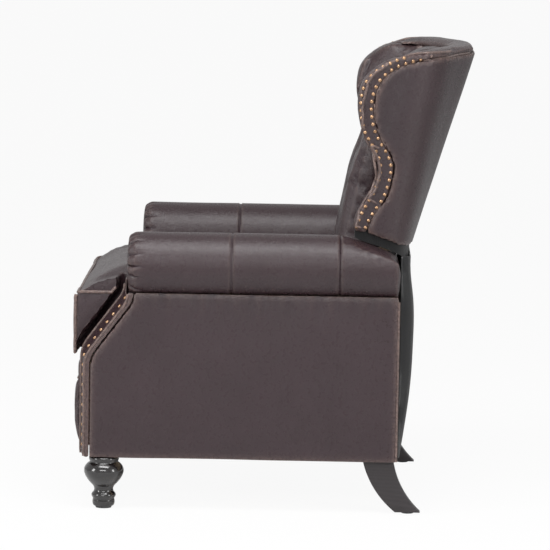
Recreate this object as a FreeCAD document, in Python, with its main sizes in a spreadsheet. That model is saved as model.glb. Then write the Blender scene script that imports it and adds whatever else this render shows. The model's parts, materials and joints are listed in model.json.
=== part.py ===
import FreeCAD, Part
import Sketcher
import os
from math import cos, hypot, radians, sin

# Wingback push-back recliner, in millimetres. +X is the sitter's left, -Y the front, +Z up.
# The origin is on the floor under the middle of the whole chair.

Vector = FreeCAD.Vector
document = FreeCAD.newDocument("WingbackRecliner")
sheet = document.addObject("Spreadsheet::Sheet", "Sizes")

DRIVING_SIZES = {
    # whole chair
    "cushion_front": 476, "back_rear": 476, "base_height": 125, "running_gap": 0.05, "seat_gap": 0.3,
    # arms
    "arm_inner": 265, "inner_panel_thick": 16, "arm_outer": 387, "side_panel_thick": 18,
    "panel_front": 446, "panel_rear": 298, "panel_top": 530, "rail_clearance": 3,
    "slope_top_y": 344, "slope_low_y": 440, "slope_low_z": 372, "slope_top_z": 500, "slope_blend": 45,
    "roll_centre_x": 342, "roll_centre_z": 588, "roll_radius": 78, "roll_front": 348, "roll_rear": 298,
    "roll_fall_y": 156, "roll_fall_rise": 2, "top_rail_inset": 30, "top_rail_width": 56,
    "facing_thick": 13, "facing_inner": 296, "facing_step": 50, "facing_advance": 10, "facing_rise": 20,
    "rail_height": 55, "post_depth": 36, "front_rail_y": -302, "front_rail_depth": 28,
    "front_rail_height": 47, "rear_rail_depth": 26, "rear_rail_height": 60,
    "leg_front_x": 352, "leg_front_y": 399, "leg_rear_thick": 33, "leg_inset": 21, "glide_thick": 3,
    "sabre_foot_y": 327, "sabre_foot_depth": 60, "sabre_top_y": 255, "sabre_top_depth": 73,
    "collar_radius": 36, "bulb_radius": 48, "neck_radius": 22, "ring_radius": 29.5, "foot_radius": 27,
    "curtain_inset": 21, "curtain_thick": 8, "curtain_bulge": 28, "curtain_height": 500,
    "nail_radius": 5.5, "nail_height": 3, "nail_pitch": 24, "back_nail_pitch": 18,
    # steel mechanism, in flat layers that step inwards from the arm
    "steel": 3, "layer_pitch": 4, "pin_radius": 4, "link_half": 9, "tube_radius": 7,
    "pivot_back_y": 225, "pivot_back_z": 430, "pivot_swing_y": -230, "pivot_swing_z": 355,
    "crank_length": 90, "crank_half_angle": 15,
    "bolt_radius": 3, "bolt_head_radius": 7, "bolt_head_thick": 2.4,
    # footrest linkage
    "tong_length": 158, "tong_y": -385, "tong_z": 165, "tong_tilt": 20,
    "tong_folded": 82, "tong_open": 27, "control_y": 16, "control_z": 62,
    "control_slot": 10.2, "control_fall": 4.2, "control_play": 0.5,
    # seat
    "cushion_side_gap": 7, "seat_frame_z": 375, "seat_frame_height": 35, "seat_frame_front": 398,
    "seat_frame_rear": 196, "seat_frame_gap": 4, "seat_rail_thick": 40, "deck_thick": 16,
    "cushion_lip_z": 363, "cushion_ear_x": 350, "cushion_rear": 144, "cushion_side_z": 517,
    "cushion_top_z": 558, "ear_gap": 11, "spring_wire": 1.9, "spring_count": 5,
    # footrest
    "footrest_side_gap": 8, "footrest_front": 471, "footrest_back": 440, "footrest_low": 132,
    "footrest_high": 350, "board_thick": 12, "footrest_slope": 14,
    # back
    "back_slope": 0.339, "back_low_z": 560, "back_low_y": 313, "back_high_z": 1096,
    "wing_thick": 72, "top_width": 70, "border_thick": 34, "cover_thick": 12, "post_slope": 0.239,
    "back_post_x": 222, "back_post_thick": 36, "back_post_depth": 35, "back_post_low": 462,
    "back_post_high": 1048, "back_post_y": 212, "back_rail_height": 36, "back_cushion_gap": 2,
    "tuft_radius": 11, "tuft_height": 5,
}

for row, (alias, measure) in enumerate(DRIVING_SIZES.items(), start=1):
    sheet.set(f"A{row}", alias)
    sheet.set(f"B{row}", str(measure))
    sheet.setAlias(f"B{row}", alias)
document.recompute()


class Size:
    """A length or angle that knows both its value now and the sheet expression that drives it."""

    def __init__(self, number, text):
        self.number = number
        self.text = text

    def join(self, sign, other, number):
        other_text = other.text if isinstance(other, Size) else repr(other)
        return Size(number, f"({self.text} {sign} {other_text})")

    def __add__(self, other):
        return self.join("+", other, self.number + value_of(other))

    def __sub__(self, other):
        return self.join("-", other, self.number - value_of(other))

    def __mul__(self, other):
        return self.join("*", other, self.number * value_of(other))

    def __truediv__(self, other):
        return self.join("/", other, self.number / value_of(other))

    def __neg__(self):
        return self * -1


def value_of(quantity):
    return quantity.number if isinstance(quantity, Size) else quantity


def text_of(quantity):
    return quantity.text if isinstance(quantity, Size) else repr(quantity)


def size(alias):
    return Size(float(sheet.get(alias)), f"Sizes.{alias}")


def sine(angle):
    return Size(sin(radians(angle.number)), f"sin({angle.text})")


def cosine(angle):
    return Size(cos(radians(angle.number)), f"cos({angle.text})")


def number(alias):
    return float(sheet.get(alias))


sub_parts = {}


def name_part(thing, label):
    """Registers an object as the sub-part that is exported under its label."""
    thing.Label = label
    sub_parts[label] = thing
    return thing


def body_plane(body, role):
    return next(feature for feature in body.Origin.OriginFeatures if feature.Role == role)


def new_sketch(body, name, plane, offset=0.0):
    sketch = body.newObject("Sketcher::SketchObject", name)
    sketch.AttachmentSupport = (body_plane(body, plane), "")
    sketch.MapMode = "FlatFace"
    sketch.setExpression("AttachmentOffset.Base.z", text_of(offset))
    return sketch


def pin_point(sketch, index, end, point, name):
    """Ties one end of a sketch line or a centre to its place, measured from the sketch's origin."""
    for kind, along, letter in (("DistanceX", point[0], "x"), ("DistanceY", point[1], "y")):
        constraint = sketch.addConstraint(sketcher_constraint(kind, index, end, value_of(along)))
        sketch.renameConstraint(constraint, f"{name}{letter}")
        sketch.setExpression(f"Constraints.{name}{letter}", text_of(along))


def sketcher_constraint(kind, *numbers):
    if kind in ("DistanceX", "DistanceY"):
        index, end, distance = numbers
        return Sketcher.Constraint(kind, -1, 1, index, end, distance)
    return Sketcher.Constraint(kind, *numbers)


def draw_outline(sketch, corners):
    """A closed outline of straight edges; a corner is (y, z)."""
    points = [Vector(value_of(a), value_of(b), 0) for a, b in corners]
    count = len(points)
    for here in range(count):
        sketch.addGeometry(Part.LineSegment(points[here], points[(here + 1) % count]), False)
    for here in range(count):
        sketch.addConstraint(sketcher_constraint("Coincident", here, 2, (here + 1) % count, 1))
    for here in range(count):
        pin_point(sketch, here, 1, corners[here], f"corner{here}")


def draw_circle(sketch, centre, radius):
    place = Vector(value_of(centre[0]), value_of(centre[1]), 0)
    index = sketch.addGeometry(Part.Circle(place, Vector(0, 0, 1), value_of(radius)), False)
    pin_point(sketch, index, 3, centre, f"centre{index}")
    constraint = sketch.addConstraint(sketcher_constraint("Radius", index, value_of(radius)))
    sketch.renameConstraint(constraint, f"radius{index}")
    sketch.setExpression(f"Constraints.radius{index}", text_of(radius))


def start_of(side, low, high):
    """Where a span from low to high across the chair starts, on the left (+1) or mirrored (-1)."""
    return low if side > 0 else high * -1


def pad(body, name, draw, low, high, side=1):
    """Pads one outline, drawn in the YZ plane, across the chair from low to high."""
    low = low if isinstance(low, Size) else Size(low, repr(low))
    high = high if isinstance(high, Size) else Size(high, repr(high))
    sketch = new_sketch(body, f"{name}_sketch", "YZ_Plane", start_of(side, low, high))
    draw(sketch)
    feature = body.newObject("PartDesign::Pad", f"{name}_pad")
    feature.Profile = sketch
    feature.setExpression("Length", text_of(high - low))
    return feature


def pocket(body, name, draw, low, high, side=1):
    """Cuts one outline, drawn in the YZ plane, through the span from low to high."""
    start = start_of(side, low, high)
    sketch = new_sketch(body, f"{name}_sketch", "YZ_Plane", start)
    draw(sketch)
    feature = body.newObject("PartDesign::Pocket", f"{name}_pocket")
    feature.Profile = sketch
    feature.Reversed = True
    feature.setExpression("Length", text_of(high - low))
    return feature


def new_body(label):
    body = document.addObject("PartDesign::Body", label)
    return name_part(body, label)


def slab(label, corners, low, high, side=1):
    """A sub-part with one straight-edged outline in the YZ plane, spanning low to high in X."""
    body = new_body(label)
    pad(body, label, lambda sketch: draw_outline(sketch, corners), low, high, side)
    return body


def feature_part(label, shape):
    """A sub-part whose shape is computed from the sheet's values."""
    thing = document.addObject("Part::Feature", label)
    thing.Shape = shape
    return name_part(thing, label)


def box_shape(x_low, x_high, y_low, y_high, z_low, z_high):
    return Part.makeBox(x_high - x_low, y_high - y_low, z_high - z_low, Vector(x_low, y_low, z_low))


def mirrored(shape):
    return shape.mirror(Vector(0, 0, 0), Vector(1, 0, 0))


def profile_prism(edges, x_low, x_high):
    """Extrudes a closed YZ outline made of edges across X."""
    wire = Part.Wire(Part.__sortEdges__(edges))
    face = Part.Face(wire)
    face.translate(Vector(x_low - wire.Vertexes[0].X, 0, 0))
    return face.extrude(Vector(x_high - x_low, 0, 0))


def yz(y, z):
    return Vector(0, y, z)


def spline(points):
    curve = Part.BSplineCurve()
    curve.interpolate(points)
    return curve.toShape()


def line(start, end):
    return Part.makeLine(start, end)


SIDES = (("left", 1), ("right", -1))
ACROSS = Vector(1, 0, 0)

# Places that several sub-parts share

arm_inner = size("arm_inner")
base_height = size("base_height")
pivot_back = (size("pivot_back_y"), size("pivot_back_z"))
pivot_swing = (size("pivot_swing_y"), size("pivot_swing_z"))
crank_y = size("crank_length") * sine(size("crank_half_angle"))
crank_drop = size("crank_length") * cosine(size("crank_half_angle"))
crank_pin_back = (pivot_back[0] + crank_y, pivot_back[1] - crank_drop)
crank_pin_swing = (pivot_swing[0] + crank_y, pivot_swing[1] - crank_drop)


def layer(index):
    """Inner and outer faces of one flat layer of the steel mechanism."""
    outer = arm_inner - size("layer_pitch") * index
    return outer - size("steel"), outer


# The footrest linkage is a two-cell lazy tong. Its places are measured forward and up from the
# fixed pivot on the seat bracket, along a line that rises by the tilt.

tilt = size("tong_tilt")
folded = size("tong_folded")
tong_run = size("tong_length") * cosine(folded)
tong_stand = size("tong_length") * sine(folded)


def tong_place(along, across):
    """A place on the folded linkage: along its line of travel and square to it."""
    forward = along * cosine(tilt) - across * sine(tilt)
    upward = along * sine(tilt) + across * cosine(tilt)
    return size("tong_y") - forward, size("tong_z") + upward


nothing = tong_run * 0
seat_pivot = tong_place(nothing, nothing)
slot_top = tong_place(nothing, tong_stand)
first_cross = tong_place(tong_run / 2, tong_stand / 2)
upper_joint = tong_place(tong_run, tong_stand)
lower_joint = tong_place(tong_run, nothing)
second_cross = tong_place(tong_run * 1.5, tong_stand / 2)
footrest_pivot = tong_place(tong_run * 2, tong_stand)
control_pivot = tong_place(tong_run * 2, nothing)
slot_low = tong_place(nothing, size("tong_length") * sine(size("tong_open")))
control_pin = (footrest_pivot[0] - size("control_y"), footrest_pivot[1] - size("control_z"))


def draw_link(sketch, start, end, half):
    """A flat link outline: two long edges and a half-round about each pivot."""
    y0, z0, y1, z1 = (value_of(part) for part in (*start, *end))
    length = hypot(y1 - y0, z1 - z0)
    across = Vector(-(z1 - z0) / length, (y1 - y0) / length, 0) * value_of(half)
    along = Vector((y1 - y0) / length, (z1 - z0) / length, 0) * value_of(half)
    first, second = Vector(y0, z0, 0), Vector(y1, z1, 0)
    sketch.addGeometry(Part.LineSegment(first - across, second - across), False)
    sketch.addGeometry(Part.Arc(second - across, second + along, second + across), False)
    sketch.addGeometry(Part.LineSegment(second + across, first + across), False)
    sketch.addGeometry(Part.Arc(first + across, first - along, first - across), False)
    for edge, following in ((0, 1), (1, 2), (2, 3), (3, 0)):
        ends = edge_ends(sketch, edge, following)
        sketch.addConstraint(Sketcher.Constraint("Tangent", edge, ends[0], following, ends[1]))
    pin_point(sketch, 3, 3, start, "start")
    pin_point(sketch, 1, 3, end, "end")
    constraint = sketch.addConstraint(Sketcher.Constraint("Radius", 1, value_of(half)))
    sketch.renameConstraint(constraint, "half_width")
    sketch.setExpression("Constraints.half_width", text_of(half))


def edge_ends(sketch, first, second):
    """Which ends of two neighbouring edges meet."""
    best = None
    for mine in (1, 2):
        for theirs in (1, 2):
            gap = sketch.getPoint(first, mine).distanceToPoint(sketch.getPoint(second, theirs))
            if best is None or gap < best[0]:
                best = (gap, mine, theirs)
    return best[1], best[2]


def link(label, side, index, start, end, holes=(), pins=(), half=None):
    """A flat steel link in one layer, with clear holes and staked pins.

    A pin is (place, first layer, last layer): it fills the layers and the gaps between them.
    """
    body = new_body(label)
    low, high = layer(index)
    half = half or size("link_half")
    pad(body, f"{label}_plate", lambda sketch: draw_link(sketch, start, end, half), low, high, side)
    add_holes(body, label, low, high, side, holes)
    add_pins(body, label, side, pins)
    return body


def add_holes(body, label, low, high, side, holes):
    hole_radius = size("pin_radius") + size("running_gap")
    for count, place in enumerate(holes):
        pocket(body, f"{label}_hole{count}", lambda sketch: draw_circle(sketch, place, hole_radius),
               low, high, side)


def add_pins(body, label, side, pins):
    for count, (place, first, last) in enumerate(pins):
        outer = layer(min(first, last))[1]
        inner = layer(max(first, last))[0]
        pad(body, f"{label}_pin{count}", lambda sketch: draw_circle(sketch, place, size("pin_radius")),
            inner, outer, side)


# Arms

roll_centre = Vector(number("roll_centre_x"), 0, number("roll_centre_z"))
panel_front = number("panel_front")
panel_rear = number("panel_rear")


def arm_top_curve():
    """The rear top of the arm, which falls away in an arc around the swinging back."""
    start = number("roll_fall_y")
    crest = number("roll_centre_z") + number("roll_radius")
    falls = ((41, 20), (87, 36), (124, 50))
    curve = [yz(start, crest + number("roll_fall_rise"))]
    curve += [yz(start + step, crest - fall) for step, fall in falls]
    return curve + [yz(number("roll_rear"), crest - 60)]


def front_curve(step_forward=0.0, rise=0.0, back=0.0):
    """The S-shaped front edge of an arm, from its top down to the base, as joined edges."""
    top_y = -number("slope_top_y") - step_forward + back
    low_y = -number("slope_low_y") - step_forward + back
    front_y = -panel_front - step_forward + back
    blend = number("slope_blend")
    top_z = number("slope_top_z") + rise
    low_z = number("slope_low_z") + rise
    slope_y, slope_z = low_y - top_y, low_z - top_z
    length = hypot(slope_y, slope_z)
    unit_y, unit_z = slope_y / length, slope_z / length
    upper = yz(top_y, number("panel_top") + rise)
    bend_top = yz(top_y, top_z + blend * 0.35)
    slope_start = yz(top_y + unit_y * blend * 0.6, top_z + unit_z * blend * 0.6)
    slope_end = yz(low_y - unit_y * blend * 0.5, low_z - unit_z * blend * 0.5)
    bend_low = yz(front_y, low_z - blend * 0.7)
    bottom = yz(front_y, number("base_height"))
    return upper, bend_top, slope_start, slope_end, bend_low, bottom


def front_edges(points):
    upper, bend_top, slope_start, slope_end, bend_low, bottom = points
    slope = (slope_end - slope_start).normalize()
    down = yz(0, -1)
    first = Part.BSplineCurve()
    first.interpolate(Points=[bend_top, slope_start], InitialTangent=down * 30, FinalTangent=slope * 30)
    second = Part.BSplineCurve()
    second.interpolate(Points=[slope_end, bend_low], InitialTangent=slope * 50, FinalTangent=down * 50)
    return [line(upper, bend_top), first.toShape(), line(slope_start, slope_end), second.toShape(),
            line(bend_low, bottom)]


def side_panel_shape():
    points = front_curve(back=number("facing_thick"))
    rear_top = yz(panel_rear, points[0].z)
    rear_low = yz(panel_rear, number("base_height"))
    edges = front_edges(points) + [line(points[-1], rear_low), line(rear_low, rear_top),
                                   line(rear_top, points[0])]
    outer = number("arm_outer")
    panel = profile_prism(edges, outer - number("side_panel_thick"), outer)
    return panel.cut(roll_cylinder(number("seat_gap")))


def roll_cylinder(extra=0.0):
    front = -number("roll_front")
    length = number("roll_front") + number("roll_rear")
    start = Vector(roll_centre.x, front - extra, roll_centre.z)
    return Part.makeCylinder(number("roll_radius") + extra, length + extra, start, Vector(0, 1, 0))


def arm_pad_shape():
    curve = arm_top_curve()
    above = number("roll_centre_z") + number("roll_radius") + 20
    rear = number("roll_rear") + 20
    start, end = curve[0], curve[-1]
    corners = [yz(rear, end.z), yz(rear, above), yz(start.y, above)]
    edges = [spline(curve), line(end, corners[0]), line(corners[0], corners[1]),
             line(corners[1], corners[2]), line(corners[2], start)]
    return roll_cylinder().cut(profile_prism(edges, 0, 2 * roll_centre.x))


def facing_shape():
    """The nailed facing over the arm's front post, whose outer edge turns back in a bevel."""
    thick = number("facing_thick")
    outer = number("arm_outer")
    crest = outer - number("facing_step")
    advance, rise = number("facing_advance"), number("facing_rise")
    sections = []
    for x, forward, lift in ((outer, 0, 0), (crest, advance, rise), (number("facing_inner"), advance, rise)):
        front = front_curve(forward, lift)
        rear = front_curve(forward, lift, thick)
        edges = front_edges(front) + [line(front[-1], rear[-1])] + front_edges(rear) + [line(rear[0], front[0])]
        wire = Part.Wire(Part.__sortEdges__(edges))
        wire.translate(Vector(x, 0, 0))
        sections.append(wire)
    facing = Part.makeLoft(sections, True, True)
    return facing.cut(roll_cylinder(number("seat_gap")))


def arm_frame_shape():
    """Front and rear posts, bottom rail and top rail of one arm, as separate pieces of timber."""
    base = number("base_height")
    inner = number("arm_inner") + number("inner_panel_thick")
    outer = number("arm_outer") - number("side_panel_thick")
    depth = number("post_depth")
    rail = number("rail_height")
    front = -panel_front + number("facing_thick")
    rear = panel_rear - 2
    low = number("slope_low_z") - 20
    top = roll_centre.z - number("roll_radius") - 1
    top_rail_inner = roll_centre.x - number("top_rail_inset")
    top_rail_outer = top_rail_inner + number("top_rail_width")
    front_post = box_shape(inner, outer, front, front + depth, base, low)
    rear_post = box_shape(inner, outer, rear - depth, rear, base, top - 40)
    bottom_rail = box_shape(outer - 66, outer, front + depth, rear - depth, base, base + rail)
    top_rail = box_shape(top_rail_inner, top_rail_outer, -number("slope_top_y") + 20, rear, top - 40, top)
    return Part.makeCompound([front_post, rear_post, bottom_rail, top_rail])


def bolt_places():
    """Where the mechanism's side plate is bolted to the arm, along the line between its pivots."""
    y0, z0 = number("pivot_swing_y"), number("pivot_swing_z")
    y1, z1 = number("pivot_back_y"), number("pivot_back_z")
    return [(y0 + (y1 - y0) * share, z0 + (z1 - z0) * share) for share in (0.2, 0.42, 0.64)]


def bolt_shape(place, radius, x_low, x_high):
    return Part.makeCylinder(radius, x_high - x_low, Vector(x_low, place[0], place[1]), ACROSS)


def inner_panel_shape():
    """The plywood inner side of one arm, which carries the mechanism."""
    points = front_curve(number("facing_advance"), number("facing_rise"), number("facing_thick") + 7)
    rear_top = yz(panel_rear, points[0].z)
    rear_low = yz(panel_rear, number("base_height"))
    edges = front_edges(points) + [line(points[-1], rear_low), line(rear_low, rear_top),
                                   line(rear_top, points[0])]
    inner = number("arm_inner")
    panel = profile_prism(edges, inner, inner + number("inner_panel_thick"))
    panel = panel.cut(roll_cylinder(number("seat_gap")))
    for place in bolt_places():
        hole = bolt_shape(place, number("bolt_radius"), inner, inner + number("inner_panel_thick"))
        panel = panel.cut(hole)
    return panel


for name, side in SIDES:
    for label, shape in (("side_panel", side_panel_shape()), ("arm_pad", arm_pad_shape()),
                         ("front_facing", facing_shape()), ("arm_frame", arm_frame_shape()),
                         ("inner_arm_panel", inner_panel_shape())):
        feature_part(f"{name}_{label}", shape if side > 0 else mirrored(shape))


# Turned front legs: a revolved profile of collar, bulb, neck, ring and foot

def draw_leg_profile(sketch):
    top = base_height
    glide = size("glide_thick")
    collar, bulb, neck = size("collar_radius"), size("bulb_radius"), size("neck_radius")
    ring, foot = size("ring_radius"), size("foot_radius")
    axis = top * 0
    heights = {"collar": 0.9, "bulb": 0.74, "bulb_low": 0.44, "neck": 0.38, "ring_high": 0.3,
               "ring": 0.25, "ring_low": 0.19, "foot": 0.165}
    at = {name: top * share for name, share in heights.items()}
    corners = [(axis, glide), (foot * 0.88, glide), (foot, at["foot"]), (foot * 0.86, at["ring_low"]),
               (ring, at["ring"]), (neck * 1.05, at["ring_high"]), (neck, at["neck"]),
               (neck * 1.3, at["bulb_low"]), (bulb * 0.86, top * 0.55), (bulb, top * 0.68),
               (bulb * 0.97, at["bulb"]), (collar * 0.97, top * 0.87), (collar, at["collar"]),
               (collar, top), (axis, top)]
    draw_outline(sketch, corners)


for name, side in SIDES:
    leg = new_body(f"{name}_front_leg")
    profile = new_sketch(leg, f"{name}_leg_profile", "XZ_Plane")
    draw_leg_profile(profile)
    turned = leg.newObject("PartDesign::Revolution", f"{name}_leg_turning")
    turned.Profile = profile
    turned.ReferenceAxis = (profile, ["V_Axis"])
    turned.Angle = 360
    leg.setExpression("Placement.Base.x", text_of(size("leg_front_x") * side))
    leg.setExpression("Placement.Base.y", text_of(-size("leg_front_y")))


def sabre_shape():
    """A rear leg sawn from flat stock, swept back in an arc towards the floor."""
    top = number("base_height")
    floor = number("glide_thick")
    foot_front = number("sabre_foot_y") - number("sabre_foot_depth") / 2
    foot_rear = foot_front + number("sabre_foot_depth")
    top_front = number("sabre_top_y") - number("sabre_top_depth") / 2
    top_back = top_front + number("sabre_top_depth")
    front_top, front_low = yz(top_front, top), yz(foot_front, floor)
    rear_top, rear_low = yz(top_back, top), yz(foot_rear, floor)
    middle = floor + (top - floor) * 0.43
    sweep = 9
    front_edge = Part.Arc(front_top, yz((top_front + foot_front) / 2 - sweep, middle), front_low).toShape()
    rear_edge = Part.Arc(rear_top, yz((top_back + foot_rear) / 2 - sweep, middle), rear_low).toShape()
    edges = [front_edge, line(front_low, rear_low), rear_edge, line(rear_top, front_top)]
    outer = number("arm_outer") - number("leg_inset")
    return profile_prism(edges, outer - number("leg_rear_thick"), outer)


for name, side in SIDES:
    leg = sabre_shape()
    feature_part(f"{name}_rear_leg", leg if side > 0 else mirrored(leg))

glide_thick = number("glide_thick")
rear_glide_x = number("arm_outer") - number("leg_inset") - number("leg_rear_thick") / 2
glides = []
for side in (1, -1):
    front_place = Vector(side * number("leg_front_x"), -number("leg_front_y"), 0)
    rear_place = Vector(side * rear_glide_x, number("sabre_foot_y"), 0)
    glides.append(Part.makeCylinder(number("foot_radius") * 0.7, glide_thick, front_place))
    glides.append(Part.makeCylinder(number("leg_rear_thick") * 0.42, glide_thick, rear_place))
feature_part("leg_glides", Part.makeCompound(glides))

# Cross rails that tie the two arms together under the seat, and the fabric behind

def cross_rail(label, rear_face, depth, height):
    """A timber rail across the chair between the arms' inner panels, with its rear face at a depth."""
    low = base_height + size("rail_clearance")
    corners = [(rear_face - depth, low), (rear_face, low), (rear_face, low + height),
               (rear_face - depth, low + height)]
    return slab(label, corners, -arm_inner, arm_inner)


curtain_face = size("panel_rear") + 1
cross_rail("front_rail", size("front_rail_y"), size("front_rail_depth"), size("front_rail_height"))
cross_rail("rear_rail", curtain_face, size("rear_rail_depth"), size("rear_rail_height"))
thick = size("curtain_thick")
bulge = size("curtain_bulge")
curtain_top = size("curtain_height")
curtain_half = size("arm_outer") - size("curtain_inset")
slab("rear_curtain",
     [(curtain_face, base_height + 2), (curtain_face + thick, base_height + 2),
      (curtain_face + bulge, curtain_top - 100), (curtain_face + bulge, curtain_top),
      (curtain_face + bulge - thick, curtain_top), (curtain_face + bulge - thick, curtain_top - 100),
      (curtain_face, base_height + 80)],
     -curtain_half, curtain_half)


# Side plates of the mechanism, with the fixed pins that the back and the swing links hang from

def plate_corners():
    y0, z0 = pivot_swing
    y1, z1 = pivot_back
    return [(y0 - 34, z0 - 28), (y0 + 34, z0 - 28), (y1 + 30, z1 - 30), (y1 + 30, z1 + 26),
            (y1 - 34, z1 + 26), (y0 - 34, z0 + 28)]


for name, side in SIDES:
    label = f"{name}_mech_plate"
    low, high = layer(0)
    plate = slab(label, plate_corners(), low, high, side)
    for count, place in enumerate(bolt_places()):
        hole = (Size(place[0], repr(place[0])), Size(place[1], repr(place[1])))
        pocket(plate, f"{label}_bolt{count}", lambda sketch: draw_circle(sketch, hole, size("bolt_radius")),
               low, high, side)
    add_pins(plate, label, side, [(pivot_back, 0, 1), (pivot_swing, 0, 1)])

bolts = []
plate_inner = layer(0)[0].number
for place in bolt_places():
    shank_radius = number("bolt_radius") - number("running_gap")
    shank = bolt_shape(place, shank_radius, plate_inner, number("arm_inner") + number("inner_panel_thick") - 1)
    head = bolt_shape(place, number("bolt_head_radius"), plate_inner - number("bolt_head_thick"), plate_inner)
    bolt = shank.fuse(head)
    bolts += [bolt, mirrored(bolt)]
feature_part("mech_bolts", Part.makeCompound(bolts))

# Swing links that carry the front of the seat, tied by a cross tube

for name, side in SIDES:
    link(f"{name}_swing_link", side, 1, pivot_swing, crank_pin_swing, holes=[pivot_swing],
         pins=[(crank_pin_swing, 1, 2)], half=size("link_half") + 4)
tube_end = layer(1)[0]
tube = new_body("swing_tube")
pad(tube, "swing_tube", lambda sketch: draw_circle(sketch, pivot_swing, size("tube_radius")),
    -tube_end, tube_end)


# Seat brackets: the plates that hang from the swing links and push on the back's cranks

def bracket_corners():
    y0, z0 = seat_pivot
    top = size("seat_frame_z") - size("steel")
    yb, zb = crank_pin_back
    yf, zf = crank_pin_swing
    return [(y0 - 14, z0 + 3), (y0 - 5, z0 - 15), (y0 + 12, z0 - 11), (yf - 150, zf - 18),
            (yf + 18, zf - 18), (yb + 12, zb - 16), (yb + 18, zb + 2), (yb + 8, zb + 16),
            (yb - 15, top), (slot_top[0] - 4, top), (slot_top[0] - 12, slot_top[1] + 20)]


def window_corners():
    y0, z0 = pivot_swing
    reach = crank_y * 2 + 13
    return [(y0 - 13, z0 - 13), (y0 + reach, z0 - 13), (y0 + reach, z0 + 13), (y0 - 13, z0 + 13)]


for name, side in SIDES:
    label = f"{name}_seat_bracket"
    low, high = layer(2)
    bracket = slab(label, bracket_corners(), low, high, side)
    add_holes(bracket, label, low, high, side, [crank_pin_swing, crank_pin_back])
    pocket(bracket, f"{label}_window", lambda sketch: draw_outline(sketch, window_corners()), low, high, side)
    guide = size("pin_radius") + 0.15
    pocket(bracket, f"{label}_guide",
           lambda sketch: draw_link(sketch, slot_low, slot_top, guide), low, high, side)
    flange_low = size("seat_frame_z") - size("steel")
    flange = [(slot_top[0], flange_low), (size("seat_frame_rear"), flange_low),
              (size("seat_frame_rear"), size("seat_frame_z")), (slot_top[0], size("seat_frame_z"))]
    pad(bracket, f"{label}_flange", lambda sketch: draw_outline(sketch, flange), high - 40, high, side)
    add_pins(bracket, label, side, [(seat_pivot, 2, 3)])

# Footrest linkage: links a rise forwards, links b fall forwards

for name, side in SIDES:
    link(f"{name}_tong_a1", side, 3, seat_pivot, upper_joint, holes=[seat_pivot],
         pins=[(first_cross, 3, 4), (upper_joint, 3, 4)])
    link(f"{name}_tong_b1", side, 4, slot_top, lower_joint, holes=[first_cross],
         pins=[(slot_top, 2, 4), (lower_joint, 3, 4)])
    link(f"{name}_tong_a2", side, 3, lower_joint, footrest_pivot, holes=[lower_joint],
         pins=[(second_cross, 3, 4), (footrest_pivot, 3, 5)])
    link(f"{name}_tong_b2", side, 4, upper_joint, control_pivot, holes=[upper_joint, second_cross],
         pins=[(control_pivot, 4, 6)])
tube_end = layer(3)[0]
tube = new_body("tong_tube")
pad(tube, "tong_tube", lambda sketch: draw_circle(sketch, seat_pivot, size("tube_radius")),
    -tube_end, tube_end)

# Footrest: board, pad and the brackets that hinge it on the linkage

foot_half = size("facing_inner") - size("footrest_side_gap")
foot_front = -size("footrest_front")
foot_back = -size("footrest_back")
foot_low = size("footrest_low")
foot_high = size("footrest_high")
slope = size("footrest_slope")
board_front = foot_back - size("board_thick")
slab("footrest_board", [(foot_back, foot_low + 6), (foot_back, foot_high - slope * 2 - 2),
                        (board_front, foot_high - slope - 2), (board_front, foot_low + 6)],
     -foot_half + 3, foot_half - 3)
slab("footrest_pad", [(board_front - 0.2, foot_low), (board_front - 6, foot_low - 3),
                      (foot_front + 5, foot_low + 12), (foot_front, foot_low + 60),
                      (foot_front, foot_low + 150), (foot_front + 3, foot_high - 12),
                      (foot_front + 8, foot_high), (board_front - 4, foot_high - 6),
                      (board_front - 0.2, foot_high - slope)],
     -foot_half, foot_half)
for name, side in SIDES:
    label = f"{name}_footrest_bracket"
    bracket = new_body(label)
    low_x, high_x = layer(5)
    y0, z0 = footrest_pivot
    yc, zc = control_pin
    plate = [(y0 + 10, z0 + 3), (y0 + 1, z0 + 9), (foot_back, z0 - 14), (foot_back, zc - 34), (yc - 8, zc - 12),
             (yc + 9, zc - 8), (y0 + 8, z0 - 9)]
    pad(bracket, f"{label}_plate", lambda sketch: draw_outline(sketch, plate), low_x, high_x, side)
    add_holes(bracket, label, low_x, high_x, side, [footrest_pivot])
    flange_face = foot_back + size("steel")
    foot = [(foot_back, zc - 34), (flange_face, zc - 34), (flange_face, z0 - 16), (foot_back, z0 - 16)]
    pad(bracket, f"{label}_foot", lambda sketch: draw_outline(sketch, foot), high_x - 34, high_x, side)
    add_pins(bracket, label, side, [(control_pin, 5, 6)])

    # The control link turns at a steady rate with the linkage, so its pin travels in a slot
    label = f"{name}_control_link"
    low_x, high_x = layer(6)
    play = size("control_fall") / 2
    slot_start = (yc, zc - play)
    slot_end = (yc - size("control_slot"), zc - play)
    slot_middle = (yc - size("control_slot") / 2, zc - play)
    slot_half = size("pin_radius") + play + size("control_play")
    control = link(label, side, 6, control_pivot, slot_middle, holes=[control_pivot])
    boss = size("control_slot") / 2 + slot_half + 4
    pad(control, f"{label}_boss", lambda sketch: draw_circle(sketch, slot_middle, boss), low_x, high_x, side)
    pocket(control, f"{label}_slot",
           lambda sketch: draw_link(sketch, slot_start, slot_end, slot_half), low_x, high_x, side)

# Seat frame, springs, deck and cushion

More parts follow.
